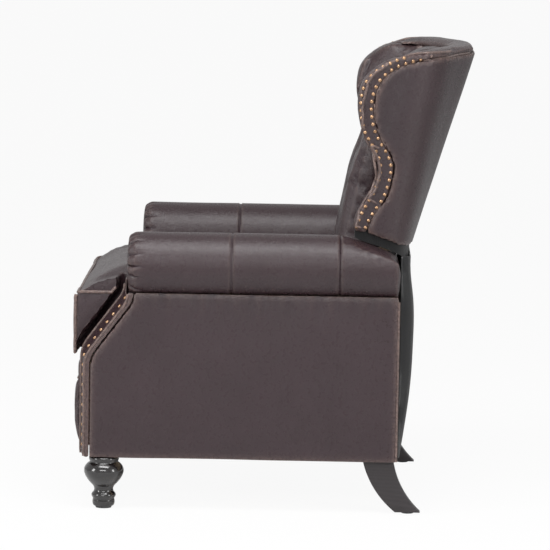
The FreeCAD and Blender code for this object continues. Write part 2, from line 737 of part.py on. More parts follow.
frame_low = number("seat_frame_z")
frame_high = frame_low + number("seat_frame_height")
seat_frame_half = layer(2)[0] - size("seat_frame_gap")
frame_half = seat_frame_half.number
frame_front = -number("seat_frame_front")
frame_rear = number("seat_frame_rear")
rail = number("seat_rail_thick")
rails = [box_shape(frame_half - rail, frame_half, frame_front, frame_rear, frame_low, frame_high),
         box_shape(-frame_half, rail - frame_half, frame_front, frame_rear, frame_low, frame_high),
         box_shape(rail - frame_half, frame_half - rail, frame_front, frame_front + rail, frame_low, frame_high),
         box_shape(rail - frame_half, frame_half - rail, frame_rear - rail, frame_rear, frame_low, frame_high)]
feature_part("seat_rails", Part.makeCompound(rails))


def sinuous_spring(x):
    """One sinuous spring: a wire bent in half-round loops along the seat, front rail to rear rail."""
    wire_radius = number("spring_wire")
    loop = 14.0
    height = frame_high + wire_radius
    start, end = frame_front + rail / 2, frame_rear - rail / 2
    count = int((end - start) / (2 * loop))
    loop = (end - start) / (2 * count)
    edges = []
    for index in range(count):
        y = start + 2 * loop * index
        way = 1 if index % 2 else -1
        middle = Vector(x + way * loop, y + loop, height)
        edges.append(Part.Arc(Vector(x, y, height), middle, Vector(x, y + 2 * loop, height)).toShape())
    path = Part.Wire(edges)
    profile = Part.Wire(Part.makeCircle(wire_radius, Vector(x, start, height), Vector(1, 0, 0)))
    return path.makePipeShell([profile], True, True)


count = int(number("spring_count"))
spread = 2 * (frame_half - rail - 30)
springs = [sinuous_spring(-spread / 2 + spread * index / (count - 1)) for index in range(count)]
feature_part("seat_springs", Part.makeCompound(springs))

deck_low = size("seat_frame_z") + size("seat_frame_height") + size("spring_wire") * 2
deck_high = deck_low + size("deck_thick")
slab("seat_deck", [(-size("seat_frame_front") + 4, deck_low), (size("seat_frame_rear") - 50, deck_low),
                   (size("seat_frame_rear") - 50, deck_high), (-size("seat_frame_front") + 4, deck_high)],
     -seat_frame_half, seat_frame_half)


def cushion_shape():
    """The T-shaped seat cushion: a crowned body between the arms and two ears in front of them."""
    front = -number("cushion_front")
    lip = number("cushion_lip_z")
    edge = number("cushion_side_z")
    top = number("cushion_top_z")
    rear = number("cushion_rear")
    deck = deck_high.number
    lip_rear = frame_front - 2
    crown = [yz(front + 7, edge), yz(front + 41, edge + 26), yz(front + 113, top + 8),
             yz(-100, top + 8), yz(rear, top - 14)]
    body_edges = [spline(crown), line(crown[-1], yz(rear, deck)), line(yz(rear, deck), yz(lip_rear, deck)),
                  line(yz(lip_rear, deck), yz(lip_rear, lip)), line(yz(lip_rear, lip), yz(front + 12, lip)),
                  line(yz(front + 12, lip), yz(front, lip + 14)), line(yz(front, lip + 14), yz(front, edge - 12)),
                  line(yz(front, edge - 12), crown[0])]
    half = number("arm_inner") - number("cushion_side_gap")
    body = profile_prism(body_edges, -half, half)
    gap = number("facing_advance") + number("ear_gap")
    points = front_curve(gap, number("facing_rise") + number("ear_gap"))
    rear_edges = front_edges(points)
    ear_top = [points[0], yz(front + 41, edge + 22), yz(front + 7, edge)]
    ear_edges = [spline(ear_top)] + rear_edges
    bottom = points[-1]
    ear_edges += [line(bottom, yz(front - 50, bottom.z)), line(yz(front - 50, bottom.z), yz(front - 50, edge)),
                  line(yz(front - 50, edge), ear_top[-1])]
    ear = profile_prism(ear_edges, half - 1, number("cushion_ear_x"))
    blunt = box_shape(half - 2, number("cushion_ear_x") + 1, front, rear, lip, top + 50)
    ear = ear.common(blunt)
    return body.fuse([ear, mirrored(ear)]).removeSplitter()


feature_part("seat_cushion", cushion_shape())

# Back: frame, cover, wings, border and cushion

low_z, high_z = number("back_low_z"), number("back_high_z")
LOW_SECTION = [(0, 0), (100, 1), (180, 4), (240, 10), (285, 26), (306, 50), (316, 88), (324, 128),
               (334, 165), (342, 200), (340, 245)]
HIGH_SECTION = [(0, 14), (100, 24), (180, 53), (240, 75), (285, 100), (315, 138), (328, 175), (345, 205),
                (360, 228), (366, 255), (352, 292)]


def rear_line(z):
    """How far back the rear of the cover reaches at a height, before its top turns upright."""
    return number("back_low_y") + (z - low_z) * number("back_slope")


def inset(points, depth):
    """Half a plan outline moved inwards by a depth, square to itself."""
    moved = []
    for index, (x, d) in enumerate(points):
        before = points[index - 1] if index else (-points[1][0], points[1][1])
        after = points[index + 1] if index + 1 < len(points) else (2 * x - before[0], 2 * d - before[1])
        along_x, along_d = after[0] - before[0], after[1] - before[1]
        length = hypot(along_x, along_d)
        moved.append((x - along_d / length * depth, d + along_x / length * depth))
    moved[0] = (0, moved[0][1])
    return moved


def steps_back(depth):
    """The outline points that still run forwards when both plan outlines move in by a depth."""
    low, high = inset(LOW_SECTION, depth), inset(HIGH_SECTION, depth)
    kept = [0]
    for index in range(1, len(low)):
        if low[index][1] > low[kept[-1]][1] and high[index][1] > high[kept[-1]][1]:
            kept.append(index)
    return kept


def plan_points(section, z, depth):
    moved = inset(section, depth)
    half = [moved[index] for index in steps_back(depth)]
    rear = rear_line(z)
    right = [Vector(-x, rear - d, z) for x, d in reversed(half)]
    left = [Vector(x, rear - d, z) for x, d in half[1:]]
    return right + left


def barrel(outer_depth, inner_depth):
    """A wall of the barrel back between two depths below its outer face."""
    wires = []
    for section, z in ((LOW_SECTION, low_z), (HIGH_SECTION, high_z)):
        outer = plan_points(section, z, outer_depth)
        inner = plan_points(section, z, inner_depth)
        wires.append(Part.Wire([spline(outer), line(outer[-1], inner[-1]),
                                spline(list(reversed(inner))), line(inner[0], outer[0])]))
    return Part.makeLoft(wires, True, True)


# The wing's front edge and the inner edge of its nailed border, seen from the side, bottom to top
WING_FRONT = [yz(187, 671), yz(190, 693), yz(208, 735), yz(226, 767), yz(238, 800), yz(240, 829),
              yz(232, 857), yz(216, 885), yz(202, 909), yz(194, 940), yz(191, 985), yz(195, 1014),
              yz(205, 1034), yz(227, 1056), yz(256, 1074), yz(292, 1087), yz(336, 1094), yz(408, 1096)]
BORDER_REAR = [yz(216, 668), yz(222, 686), yz(241, 719), yz(262, 751), yz(274, 790), yz(278, 826),
               yz(267, 858), yz(249, 887), yz(235, 921), yz(229, 958), yz(230, 987), yz(239, 1016),
               yz(255, 1040), yz(280, 1059), yz(309, 1070), yz(349, 1079), yz(400, 1084),
              yz(number("back_rear"), 1086)]
WING_FOOT = [yz(187, 671), yz(216, 668), yz(243, 657), yz(275, 645), yz(298, 634), yz(335, 620)]
WIDE = 420
REAR = number("back_rear")


def side_view(front_line, x_low, x_high):
    """Everything behind a front line, above the wing's foot and in front of the upright rear."""
    foot_start = min(range(len(WING_FOOT)), key=lambda i: WING_FOOT[i].distanceToPoint(front_line[0]))
    foot = WING_FOOT[foot_start:]
    behind = foot[-1]
    top = front_line[-1]
    edges = [spline(front_line), line(behind, yz(behind.y + 8, behind.z)),
             line(yz(behind.y + 8, behind.z), yz(REAR, 1010)), line(yz(REAR, 1010), yz(REAR, top.z))]
    edges += [line(start, end) for start, end in zip(foot, foot[1:])]
    if abs(top.y - REAR) > 0.1:
        edges.append(line(yz(REAR, top.z), top))
    return profile_prism(edges, x_low, x_high)


border_depth = number("border_thick")
wing_depth = number("wing_thick")
cover_front = side_view(BORDER_REAR, -WIDE, WIDE)
wing_front = side_view(WING_FRONT, -WIDE, WIDE)
outer_wall = barrel(0, border_depth)
cover = barrel(0, number("cover_thick")).common(cover_front)
border = outer_wall.common(wing_front).cut(cover_front)
top_edge = barrel(border_depth, number("top_width")).common(wing_front).cut(cover_front)
top_room = box_shape(-WIDE, WIDE, 300, 500, 1083, 1100)
border = border.fuse(top_edge.common(top_room)).removeSplitter()
feature_part("outer_back_cover", cover)
feature_part("back_border", border)

post_low, post_high = number("back_post_low"), number("back_post_high")
post_y = number("back_post_y")
post_depth = number("back_post_depth")
post_slope = number("post_slope")
post_x = number("back_post_x")
post_thick = number("back_post_thick")


def post_line(z, extra=0.0):
    return yz(post_y + (z - post_low) * post_slope + extra, z)


def leaning_block(x_low, x_high, z_low, z_high, depth):
    corners = [post_line(z_low), post_line(z_low, depth), post_line(z_high, depth), post_line(z_high)]
    edges = [line(corners[i], corners[(i + 1) % 4]) for i in range(4)]
    return profile_prism(edges, x_low, x_high)


post = leaning_block(post_x, post_x + post_thick, post_low, post_high, post_depth)
rail_height = number("back_rail_height")
back_rails = [leaning_block(-post_x, post_x, z, z + rail_height, post_depth)
              for z in (post_low, (post_low + post_high) / 2, post_high - rail_height)]
feature_part("left_back_post", post)
feature_part("right_back_post", mirrored(post))
feature_part("back_rails", Part.makeCompound(back_rails))

wing_wall = barrel(border_depth, wing_depth)
wing_solid = wing_wall.common(wing_front)
side_room = box_shape(post_x + 4, WIDE, 0, 500, 600, 1083)
wing = wing_solid.common(side_room).cut(post)
feature_part("left_wing_pad", wing)
feature_part("right_wing_pad", mirrored(wing))


def back_cushion_shape():
    """The tufted inside back, from behind the seat cushion up to the border."""
    front = number("cushion_rear") + number("back_cushion_gap")
    leans = ((0, 458), (0, 560), (14, 647), (30, 732), (50, 853), (89, 950), (154, 1038), (226, 1077),
             (256, 1082))
    front_face = [yz(front + lean, height) for lean, height in leans]
    top_rear = yz(front + 304, front_face[-1].z)
    rear_top, rear_low = post_line(post_high), post_line(post_low)
    edges = [spline(front_face[1:]), line(front_face[0], front_face[1]), line(front_face[-1], top_rear),
             line(top_rear, yz(top_rear.y, post_high)), line(yz(top_rear.y, post_high), rear_top),
             line(rear_top, rear_low), line(rear_low, front_face[0])]
    block = profile_prism(edges, -post_x, post_x)
    pieces = block.cut(outer_wall).Solids
    return max(pieces, key=lambda piece: piece.Volume)


feature_part("inside_back_cushion", back_cushion_shape())

for name, side in SIDES:
    label = f"{name}_back_bracket"
    low_x, high_x = layer(1)
    yb, zb = crank_pin_back
    yp, zp = pivot_back
    corners = [(yb + 14, zb - 10), (yb - 4, zb - 14), (yb - 16, zb), (yp - 18, zp - 4), (yp - 14, zp + 20),
               (yp + 30, zp + 190), (yp + 62, zp + 186), (yp + 24, zp + 8), (yp + 20, zp - 8)]
    bracket = slab(label, corners, low_x, high_x, side)
    add_holes(bracket, label, low_x, high_x, side, [pivot_back])
    add_pins(bracket, label, side, [(crank_pin_back, 1, 2)])


# Brass nails and tufting buttons

def dome(place, way, radius, height):
    """A shallow dome standing on a face at a place, pointing away from it."""
    sphere_radius = (radius * radius + height * height) / (2 * height)
    ball = Part.makeSphere(sphere_radius, place - way * (sphere_radius - height))
    reach = 2 * sphere_radius
    cutter = Part.makeCylinder(reach, reach, place - way * reach, way)
    return ball.cut(cutter)


nail_radius, nail_height = number("nail_radius"), number("nail_height")


def arm_nails():
    points = front_curve(number("facing_advance") / 2, number("facing_rise") / 2)
    edges = front_edges(points)[1:]
    wire = Part.Wire(edges)
    x = number("arm_outer") - number("facing_step") / 2
    domes = []
    count = int(wire.Length / number("nail_pitch"))
    for point in wire.discretize(count + 1)[1:-1]:
        place = Vector(x, point.y, point.z)
        forward = Vector(0.5, -0.8, 0.35).normalize()
        domes.append(dome(place, forward, nail_radius, nail_height))
    return domes


arm_domes = arm_nails()
left_facing = sub_parts["left_front_facing"].Shape
arm_domes = [d.cut(left_facing) for d in arm_domes]
arm_domes += [mirrored(d) for d in arm_domes]
feature_part("arm_nailheads", Part.makeCompound(arm_domes))


def outer_face_x(point):
    """Where the cover's outer face lies, sideways, at a height and depth."""
    share = (point.z - low_z) / (high_z - low_z)
    depth = rear_line(point.z) - point.y
    half = [(a[0] + (b[0] - a[0]) * share, a[1] + (b[1] - a[1]) * share)
            for a, b in zip(LOW_SECTION, HIGH_SECTION)]
    for (x0, d0), (x1, d1) in zip(half, half[1:]):
        if d0 <= depth <= d1:
            return x0 + (x1 - x0) * (depth - d0) / (d1 - d0)
    return half[-1][0]


def border_nails(offset):
    """A row of nails on the wing's border, a given share of the way from its front to its rear."""
    rows = []
    for front_point, rear_point in zip(WING_FRONT[:14], BORDER_REAR[:14]):
        rows.append(front_point + (rear_point - front_point) * offset)
    curve = Part.BSplineCurve()
    curve.interpolate(rows)
    wire = curve.toShape()
    count = int(wire.Length / number("back_nail_pitch"))
    domes = []
    for point in wire.discretize(count + 1)[1:-1]:
        place = Vector(outer_face_x(point), point.y, point.z)
        domes.append(dome(place, Vector(1, 0, 0), nail_radius - 1, nail_height))
    return domes


back_domes = [nail.cut(border) for nail in border_nails(0.2) + border_nails(0.8)]
back_domes += [mirrored(nail) for nail in back_domes]
feature_part("back_nailheads", Part.makeCompound(back_domes))

tuft_radius, tuft_height = number("tuft_radius"), number("tuft_height")
seat_gap = number("seat_gap")


def face_point(pad_shape, x, z):
    """The foremost point of a pad at a place seen from the front."""
    probe = line(Vector(x, 0, z), Vector(x, number("back_rear"), z)).common(pad_shape)
    return Vector(x, probe.BoundBox.YMin, z)


buttons = []
TUFT_ROWS = ((740, (-110, 0, 110)), (850, (-165, -55, 55, 165)), (960, (-110, 0, 110)))
cushion = sub_parts["inside_back_cushion"].Shape
for z, columns in TUFT_ROWS:
    for x in columns:
        below, centre, above = (face_point(cushion, x, z + step) for step in (-tuft_radius, 0, tuft_radius))
        along = above - below
        outwards = Vector(0, -along.z, along.y).normalize()
        buttons.append(dome(centre + outwards * seat_gap, outwards, tuft_radius, tuft_height))
feature_part("tuft_buttons", Part.makeCompound(buttons))

# Checks and files

document.recompute()
for thing in document.Objects:
    if "Invalid" in thing.State or "Error" in thing.State:
        raise ValueError(f"{thing.Name} failed: {thing.State}")
os.makedirs("parts", exist_ok=True)
for label, thing in sub_parts.items():
    shape = thing.Shape
    if shape.isNull() or not shape.isValid() or shape.Volume <= 0:
        raise ValueError(f"{label} has no valid shape")
for label, thing in sub_parts.items():
    thing.Shape.exportStep(f"parts/{label}.step")
print(len(sub_parts), "sub-parts")
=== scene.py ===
import json
from math import cos, pi, radians, sin, tanh

import bmesh
import bpy
from mathutils import Matrix, Vector, noise


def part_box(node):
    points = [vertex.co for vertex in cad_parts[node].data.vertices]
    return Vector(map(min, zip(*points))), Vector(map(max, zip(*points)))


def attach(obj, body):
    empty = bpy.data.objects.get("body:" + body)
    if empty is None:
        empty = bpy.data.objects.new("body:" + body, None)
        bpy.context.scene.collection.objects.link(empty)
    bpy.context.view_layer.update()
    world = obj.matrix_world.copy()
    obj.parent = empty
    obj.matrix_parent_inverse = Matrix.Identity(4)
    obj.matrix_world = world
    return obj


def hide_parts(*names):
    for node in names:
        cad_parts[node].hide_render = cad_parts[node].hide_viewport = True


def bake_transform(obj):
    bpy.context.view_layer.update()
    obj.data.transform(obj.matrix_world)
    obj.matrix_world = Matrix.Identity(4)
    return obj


# Wingback recliner in dark brown leather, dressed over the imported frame. Metres, +X is the sitter's left.

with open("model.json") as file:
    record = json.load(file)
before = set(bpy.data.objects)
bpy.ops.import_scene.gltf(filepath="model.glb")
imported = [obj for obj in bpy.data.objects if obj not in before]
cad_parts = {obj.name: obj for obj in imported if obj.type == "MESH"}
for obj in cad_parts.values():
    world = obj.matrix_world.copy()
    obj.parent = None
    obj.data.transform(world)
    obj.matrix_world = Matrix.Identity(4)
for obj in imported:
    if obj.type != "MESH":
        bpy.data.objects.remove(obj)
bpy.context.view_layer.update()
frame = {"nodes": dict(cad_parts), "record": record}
scene = bpy.context.scene
sideways = Vector((1, 0, 0))


# Small helpers

def selectOnly(piece):
    bpy.ops.object.select_all(action="DESELECT")
    piece.select_set(True)
    bpy.context.view_layer.objects.active = piece


def applyModifier(piece, kind, **values):
    modifier = piece.modifiers.new(kind.title(), kind)
    for name, value in values.items():
        setattr(modifier, name, value)
    selectOnly(piece)
    bpy.ops.object.modifier_apply(modifier=modifier.name)


def applyPlace(piece):
    selectOnly(piece)
    bpy.ops.object.transform_apply(location=True, rotation=True, scale=True)


def copyOfNode(nodeName, pieceName):
    piece = bpy.data.objects.new(pieceName, frame["nodes"][nodeName].data.copy())
    scene.collection.objects.link(piece)
    piece.data.materials.clear()
    selectOnly(piece)
    bpy.ops.object.mode_set(mode="EDIT")
    bpy.ops.mesh.select_all(action="SELECT")
    bpy.ops.mesh.remove_doubles(threshold=0.00002)  # the CAD mesh comes as loose triangles
    bpy.ops.object.mode_set(mode="OBJECT")
    return piece


def joined(pieceName, pieces):
    bpy.ops.object.select_all(action="DESELECT")
    for piece in pieces:
        piece.select_set(True)
    bpy.context.view_layer.objects.active = pieces[0]
    bpy.ops.object.join()
    pieces[0].name = pieceName
    return pieces[0]


def mirrorCopy(piece, pieceName):
    twin = bpy.data.objects.new(pieceName, piece.data.copy())
    scene.collection.objects.link(twin)
    twin.data.transform(Matrix.Scale(-1, 4, sideways))
    twin.data.flip_normals()
    return twin


def smoothStep(low, high, value):
    share = min(max((value - low) / (high - low), 0), 1)
    return share * share * (3 - 2 * share)


def shadeSoft(piece, angle=40):
    selectOnly(piece)
    bpy.ops.object.shade_smooth_by_angle(angle=radians(angle))


def dress(piece, body, material, nodes=(), angle=40):
    piece.data.materials.clear()
    piece.data.materials.append(material)
    shadeSoft(piece, angle)
    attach(piece, body)
    if nodes:
        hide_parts(*nodes)
    return piece


# Padding: a remeshed copy swells like a filled cover, held where it is sewn or nailed

def remesh(piece, voxel, shrink):
    applyModifier(piece, "REMESH", mode="VOXEL", voxel_size=voxel)
    if shrink:
        applyModifier(piece, "DISPLACE", strength=-shrink, mid_level=0)
    applyModifier(piece, "SMOOTH", factor=0.5, iterations=3)


def swell(piece, look, held=None):
    start = [vertex.co.copy() for vertex in piece.data.vertices]
    cloth = piece.modifiers.new("Filling", "CLOTH")
    if held:
        group = piece.vertex_groups.new(name="held")
        for vertex in piece.data.vertices:
            weight = held(vertex.co)
            if weight > 0:
                group.add([vertex.index], weight, "REPLACE")
        cloth.settings.vertex_group_mass = "held"
    cloth.settings.use_pressure = True
    cloth.settings.uniform_pressure_force = look["pressure"]
    cloth.settings.effector_weights.gravity = 0
    cloth.settings.quality = 4
    cloth.collision_settings.use_collision = False
    cloth.point_cache.frame_end = look["frames"]
    for step in range(1, look["frames"] + 1):
        scene.frame_set(step)
    selectOnly(piece)
    bpy.ops.object.modifier_apply(modifier=cloth.name)
    scene.frame_set(1)
    for vertex, before in zip(piece.data.vertices, start):
        move = vertex.co - before
        if move.length > 0:
            vertex.co = before + move.normalized() * look["cap"] * tanh(move.length / look["cap"])


def refine(piece):
    applyModifier(piece, "SUBSURF", levels=1, render_levels=1)


def normalsOf(piece):
    return [vertex.normal.copy() for vertex in piece.data.vertices]


def wander(piece, size, depth, seed):
    offset = Vector((seed * 3.7, seed * 1.3, seed * 2.1))  # large soft dents, as padding has
    for vertex, normal in zip(piece.data.vertices, normalsOf(piece)):
        vertex.co += normal * depth * noise.noise(vertex.co / size + offset)


# Lines on a surface: where welts, stitches and nails run

def smoothLine(points, spacing):
    curve = bpy.data.curves.new("line", "CURVE")
    curve.dimensions = "3D"
    curve.resolution_u = 16
    spline = curve.splines.new("BEZIER")
    spline.bezier_points.add(len(points) - 1)
    for knot, point in zip(spline.bezier_points, points):
        knot.co = point
        knot.handle_left_type = knot.handle_right_type = "AUTO"
    holder = bpy.data.objects.new("line", curve)
    scene.collection.objects.link(holder)
    bpy.context.view_layer.update()
    mesh = bpy.data.meshes.new_from_object(holder.evaluated_get(bpy.context.evaluated_depsgraph_get()))
    line = [vertex.co.copy() for vertex in mesh.vertices]
    bpy.data.objects.remove(holder)
    return evenly(line, spacing)


def evenly(line, spacing):
    lengths = [(after - before).length for before, after in zip(line, line[1:])]
    count = max(int(round(sum(lengths) / spacing)), 1)
    step = sum(lengths) / count
    even = [line[0].copy()]
    run = 0.0
    for before, after, length in zip(line, line[1:], lengths):
        while length > 0 and len(even) < count and run + length >= step * len(even):
            even.append(before.lerp(after, (step * len(even) - run) / length))
        run += length
    even.append(line[-1].copy())
    return even


def laidOn(target, line, way=None):
    bpy.context.view_layer.update()
    places = []
    for point in line:
        hit = False
        if way is not None:
            hit, place, normal, index = target.ray_cast(point - way * 0.5, way)
        if not hit:
            hit, place, normal, index = target.closest_point_on_mesh(point)
        places.append((place.copy(), normal.copy()))
    return places


def welt(pieceName, line, radius):
    curve = bpy.data.curves.new(pieceName, "CURVE")
    curve.dimensions = "3D"
    curve.bevel_depth = radius
    curve.bevel_resolution = 3
    curve.use_fill_caps = True
    spline = curve.splines.new("NURBS")
    spline.points.add(len(line) - 1)
    for knot, point in zip(spline.points, line):
        knot.co = (*point, 1)
    spline.order_u = 3
    spline.use_endpoint_u = True
    curve.resolution_u = 3
    piece = bpy.data.objects.new(pieceName, curve)
    scene.collection.objects.link(piece)
    selectOnly(piece)
    bpy.ops.object.convert(target="MESH")
    return bpy.context.view_layer.objects.active


def weltOn(pieceName, target, line, radius, way=None, spacing=0.008, stand=0.35):
    places = laidOn(target, smoothLine(line, spacing), way)
    return welt(pieceName, [place + normal * radius * stand for place, normal in places], radius)


def rowOf(pieceName, master, places, sink=0.0):
    mesh = bmesh.new()
    for index, (place, normal) in enumerate(places):
        after = places[min(index + 1, len(places) - 1)][0]
        before = places[max(index - 1, 0)][0]
        along = (after - before).normalized()
        across = normal.cross(along).normalized()
        along = across.cross(normal).normalized()
        turn = Matrix((along, across, normal)).transposed().to_4x4()
        copied = master.data.copy()
        copied.transform(Matrix.Translation(place - normal * sink) @ turn)
        mesh.from_mesh(copied)
        bpy.data.meshes.remove(copied)
    piece = bpy.data.objects.new(pieceName, bpy.data.meshes.new(pieceName))
    scene.collection.objects.link(piece)
    mesh.to_mesh(piece.data)
    mesh.free()
    return piece


# Materials

def newGroup(groupName, inputs, outputs):
    group = bpy.data.node_groups.new(groupName, "ShaderNodeTree")
    for name, value in inputs:
        socket = group.interface.new_socket(name, in_out="INPUT", socket_type="NodeSocketFloat")
        socket.default_value = value
    for name in outputs:
        group.interface.new_socket(name, in_out="OUTPUT", socket_type="NodeSocketFloat")
    entry = group.nodes.new("NodeGroupInput")
    leave = group.nodes.new("NodeGroupOutput")
    return group, entry, leave


def node(tree, kind, **values):
    made = tree.nodes.new(kind)
    for name, value in values.items():
        setattr(made, name, value)
    return made


def math(tree, operation, first, second=None):
    made = node(tree, "ShaderNodeMath", operation=operation)
    for socket, value in zip(made.inputs, (first, second)):
        if value is None:
            continue
        if isinstance(value, (int, float)):
            socket.default_value = value
        else:
            tree.links.new(value, socket)
    return made.outputs[0]


def ranged(tree, value, low, high, toLow, toHigh):
    made = node(tree, "ShaderNodeMapRange")
    tree.links.new(value, made.inputs["Value"])
    for name, number in (("From Min", low), ("From Max", high), ("To Min", toLow), ("To Max", toHigh)):
        made.inputs[name].default_value = number
    return made.outputs["Result"]


def noiseTexture(tree, vector, scale, detail=3.0, roughness=0.5):
    made = node(tree, "ShaderNodeTexNoise")
    tree.links.new(vector, made.inputs["Vector"])
    made.inputs["Scale"].default_value = scale
    made.inputs["Detail"].default_value = detail
    made.inputs["Roughness"].default_value = roughness
    return made.outputs["Fac"]


def makeLeatherGrain():
    group, entry, leave = newGroup("leatherGrain", (("Pebble size", 700.0), ("Crease", 0.5)),
                                   ("Tone", "Shine", "Height"))
    place = node(group, "ShaderNodeTexCoord").outputs["Object"]
    pebble = node(group, "ShaderNodeTexVoronoi", feature="DISTANCE_TO_EDGE")
    group.links.new(place, pebble.inputs["Vector"])
    group.links.new(entry.outputs["Pebble size"], pebble.inputs["Scale"])
    pebbles = ranged(group, pebble.outputs["Distance"], 0.0, 0.25, 0.0, 1.0)
    crease = ranged(group, noiseTexture(group, place, 95.0, 5.0, 0.6), 0.35, 0.65, 0.0, 1.0)
    creases = math(group, "MULTIPLY", crease, entry.outputs["Crease"])
    cloud = noiseTexture(group, place, 9.0, 4.0, 0.55)
    fine = noiseTexture(group, place, 320.0, 2.0)
    group.links.new(math(group, "ADD", math(group, "MULTIPLY", cloud, 0.75),
                         math(group, "MULTIPLY", fine, 0.25)), leave.inputs["Tone"])
    group.links.new(math(group, "ADD", math(group, "MULTIPLY", crease, 0.5),
                         math(group, "MULTIPLY", fine, 0.5)), leave.inputs["Shine"])
    group.links.new(math(group, "ADD", pebbles, creases), leave.inputs["Height"])
    return group


def makeEdgeWear():
    group, entry, leave = newGroup("edgeWear", (("Width", 0.06), ("Amount", 1.0)), ("Wear",))
    place = node(group, "ShaderNodeTexCoord").outputs["Object"]
    sharp = node(group, "ShaderNodeNewGeometry").outputs["Pointiness"]
    broken = ranged(group, noiseTexture(group, place, 140.0, 4.0), 0.3, 0.6, 0.2, 1.0)
    reach = math(group, "DIVIDE", math(group, "SUBTRACT", sharp, 0.5), entry.outputs["Width"])
    held = node(group, "ShaderNodeClamp")
    group.links.new(math(group, "MULTIPLY", reach, entry.outputs["Amount"]), held.inputs["Value"])
    group.links.new(math(group, "MULTIPLY", held.outputs[0], broken), leave.inputs["Wear"])
    return group


def makeWoodGrain():
    group, entry, leave = newGroup("woodGrain", (("Ring size", 40.0),), ("Grain", "Height"))
    place = node(group, "ShaderNodeTexCoord").outputs["Object"]
    stretch = node(group, "ShaderNodeMapping")
    stretch.inputs["Scale"].default_value = (1.0, 0.12, 1.0)
    group.links.new(place, stretch.inputs["Vector"])
    rings = node(group, "ShaderNodeTexWave", wave_type="RINGS")
    group.links.new(stretch.outputs[0], rings.inputs["Vector"])
    group.links.new(entry.outputs["Ring size"], rings.inputs["Scale"])
    rings.inputs["Distortion"].default_value = 6.0
    pores = noiseTexture(group, stretch.outputs[0], 900.0, 2.0)
    group.links.new(math(group, "ADD", math(group, "MULTIPLY", rings.outputs["Fac"], 0.7),
                         math(group, "MULTIPLY", pores, 0.3)), leave.inputs["Grain"])
    group.links.new(pores, leave.inputs["Height"])
    return group


leatherGrain = makeLeatherGrain()
edgeWear = makeEdgeWear()
woodGrain = makeWoodGrain()


def newMaterial(materialName, **plain):
    material = bpy.data.materials.new(materialName)
    material.use_nodes = True
    shader = material.node_tree.nodes["Principled BSDF"]
    for name, value in plain.items():
        shader.inputs[name.replace("_", " ")].default_value = value
    return material, material.node_tree, shader


def colourMix(tree, factor, first, second):
    mix = node(tree, "ShaderNodeMix", data_type="RGBA")
    tree.links.new(factor, mix.inputs["Factor"])
    for socket, colour in ((mix.inputs["A"], first), (mix.inputs["B"], second)):
        if isinstance(colour, tuple):
            socket.default_value = (*colour, 1)
        else:
            tree.links.new(colour, socket)
    return mix.outputs["Result"]


def bumped(tree, shader, height, distance, strength):
    bump = node(tree, "ShaderNodeBump")
    bump.inputs["Distance"].default_value = distance
    bump.inputs["Strength"].default_value = strength
    tree.links.new(height, bump.inputs["Height"])
    tree.links.new(bump.outputs["Normal"], shader.inputs["Normal"])


def leather(materialName, look):
    material, tree, shader = newMaterial(materialName)
    grain = node(tree, "ShaderNodeGroup", node_tree=leatherGrain)
    grain.inputs["Pebble size"].default_value = look["pebble"]
    grain.inputs["Crease"].default_value = look["crease"]
    wear = node(tree, "ShaderNodeGroup", node_tree=edgeWear)
    wear.inputs["Amount"].default_value = look["wear"]
    toned = colourMix(tree, grain.outputs["Tone"], look["deep"], look["light"])
    tree.links.new(colourMix(tree, wear.outputs["Wear"], toned, look["worn"]), shader.inputs["Base Color"])
    tree.links.new(ranged(tree, grain.outputs["Shine"], 0.2, 0.8, look["glossy"], look["dull"]),
                   shader.inputs["Roughness"])
    bumped(tree, shader, grain.outputs["Height"], 0.00035, look["relief"])
    return material


def wood(materialName, look):
    material, tree, shader = newMaterial(materialName, Coat_Weight=look["coat"], Coat_Roughness=0.08)
    grain = node(tree, "ShaderNodeGroup", node_tree=woodGrain)
    wear = node(tree, "ShaderNodeGroup", node_tree=edgeWear)
    wear.inputs["Amount"].default_value = look["wear"]
    toned = colourMix(tree, grain.outputs["Grain"], look["deep"], look["light"])
    tree.links.new(colourMix(tree, wear.outputs["Wear"], toned, look["worn"]), shader.inputs["Base Color"])
    tree.links.new(ranged(tree, grain.outputs["Grain"], 0.0, 1.0, look["glossy"], look["dull"]),
                   shader.inputs["Roughness"])
    bumped(tree, shader, grain.outputs["Height"], 0.0002, look["relief"])
    return material


def metal(materialName, look):
    material, tree, shader = newMaterial(materialName, Metallic=look["metallic"])
    place = node(tree, "ShaderNodeTexCoord").outputs["Object"]
    spots = noiseTexture(tree, place, look["spots"], 4.0)
    wear = node(tree, "ShaderNodeGroup", node_tree=edgeWear)
    wear.inputs["Amount"].default_value = look["wear"]
    toned = colourMix(tree, ranged(tree, spots, 0.35, 0.65, 0.0, 1.0), look["deep"], look["light"])
    tree.links.new(colourMix(tree, wear.outputs["Wear"], toned, look["worn"]), shader.inputs["Base Color"])
    tree.links.new(ranged(tree, spots, 0.3, 0.7, look["glossy"], look["dull"]), shader.inputs["Roughness"])
    bumped(tree, shader, spots, 0.0001, 0.25)
    return material


def knit(materialName, look):
    material, tree, shader = newMaterial(materialName, Sheen_Weight=0.3, Sheen_Roughness=0.5)
    place = node(tree, "ShaderNodeTexCoord").outputs["Object"]
    ribs = node(tree, "ShaderNodeTexWave", bands_direction="X")
    tree.links.new(place, ribs.inputs["Vector"])
    ribs.inputs["Scale"].default_value = look["ribs"]
    courses = node(tree, "ShaderNodeTexWave", bands_direction="Z")
    tree.links.new(place, courses.inputs["Vector"])
    courses.inputs["Scale"].default_value = look["ribs"] * 0.8
    loops = math(tree, "MULTIPLY", ribs.outputs["Fac"], courses.outputs["Fac"])
    tree.links.new(colourMix(tree, loops, look["deep"], look["light"]), shader.inputs["Base Color"])
    tree.links.new(ranged(tree, loops, 0.0, 1.0, 0.95, 0.75), shader.inputs["Roughness"])
    bumped(tree, shader, loops, 0.0004, 0.6)
    return material


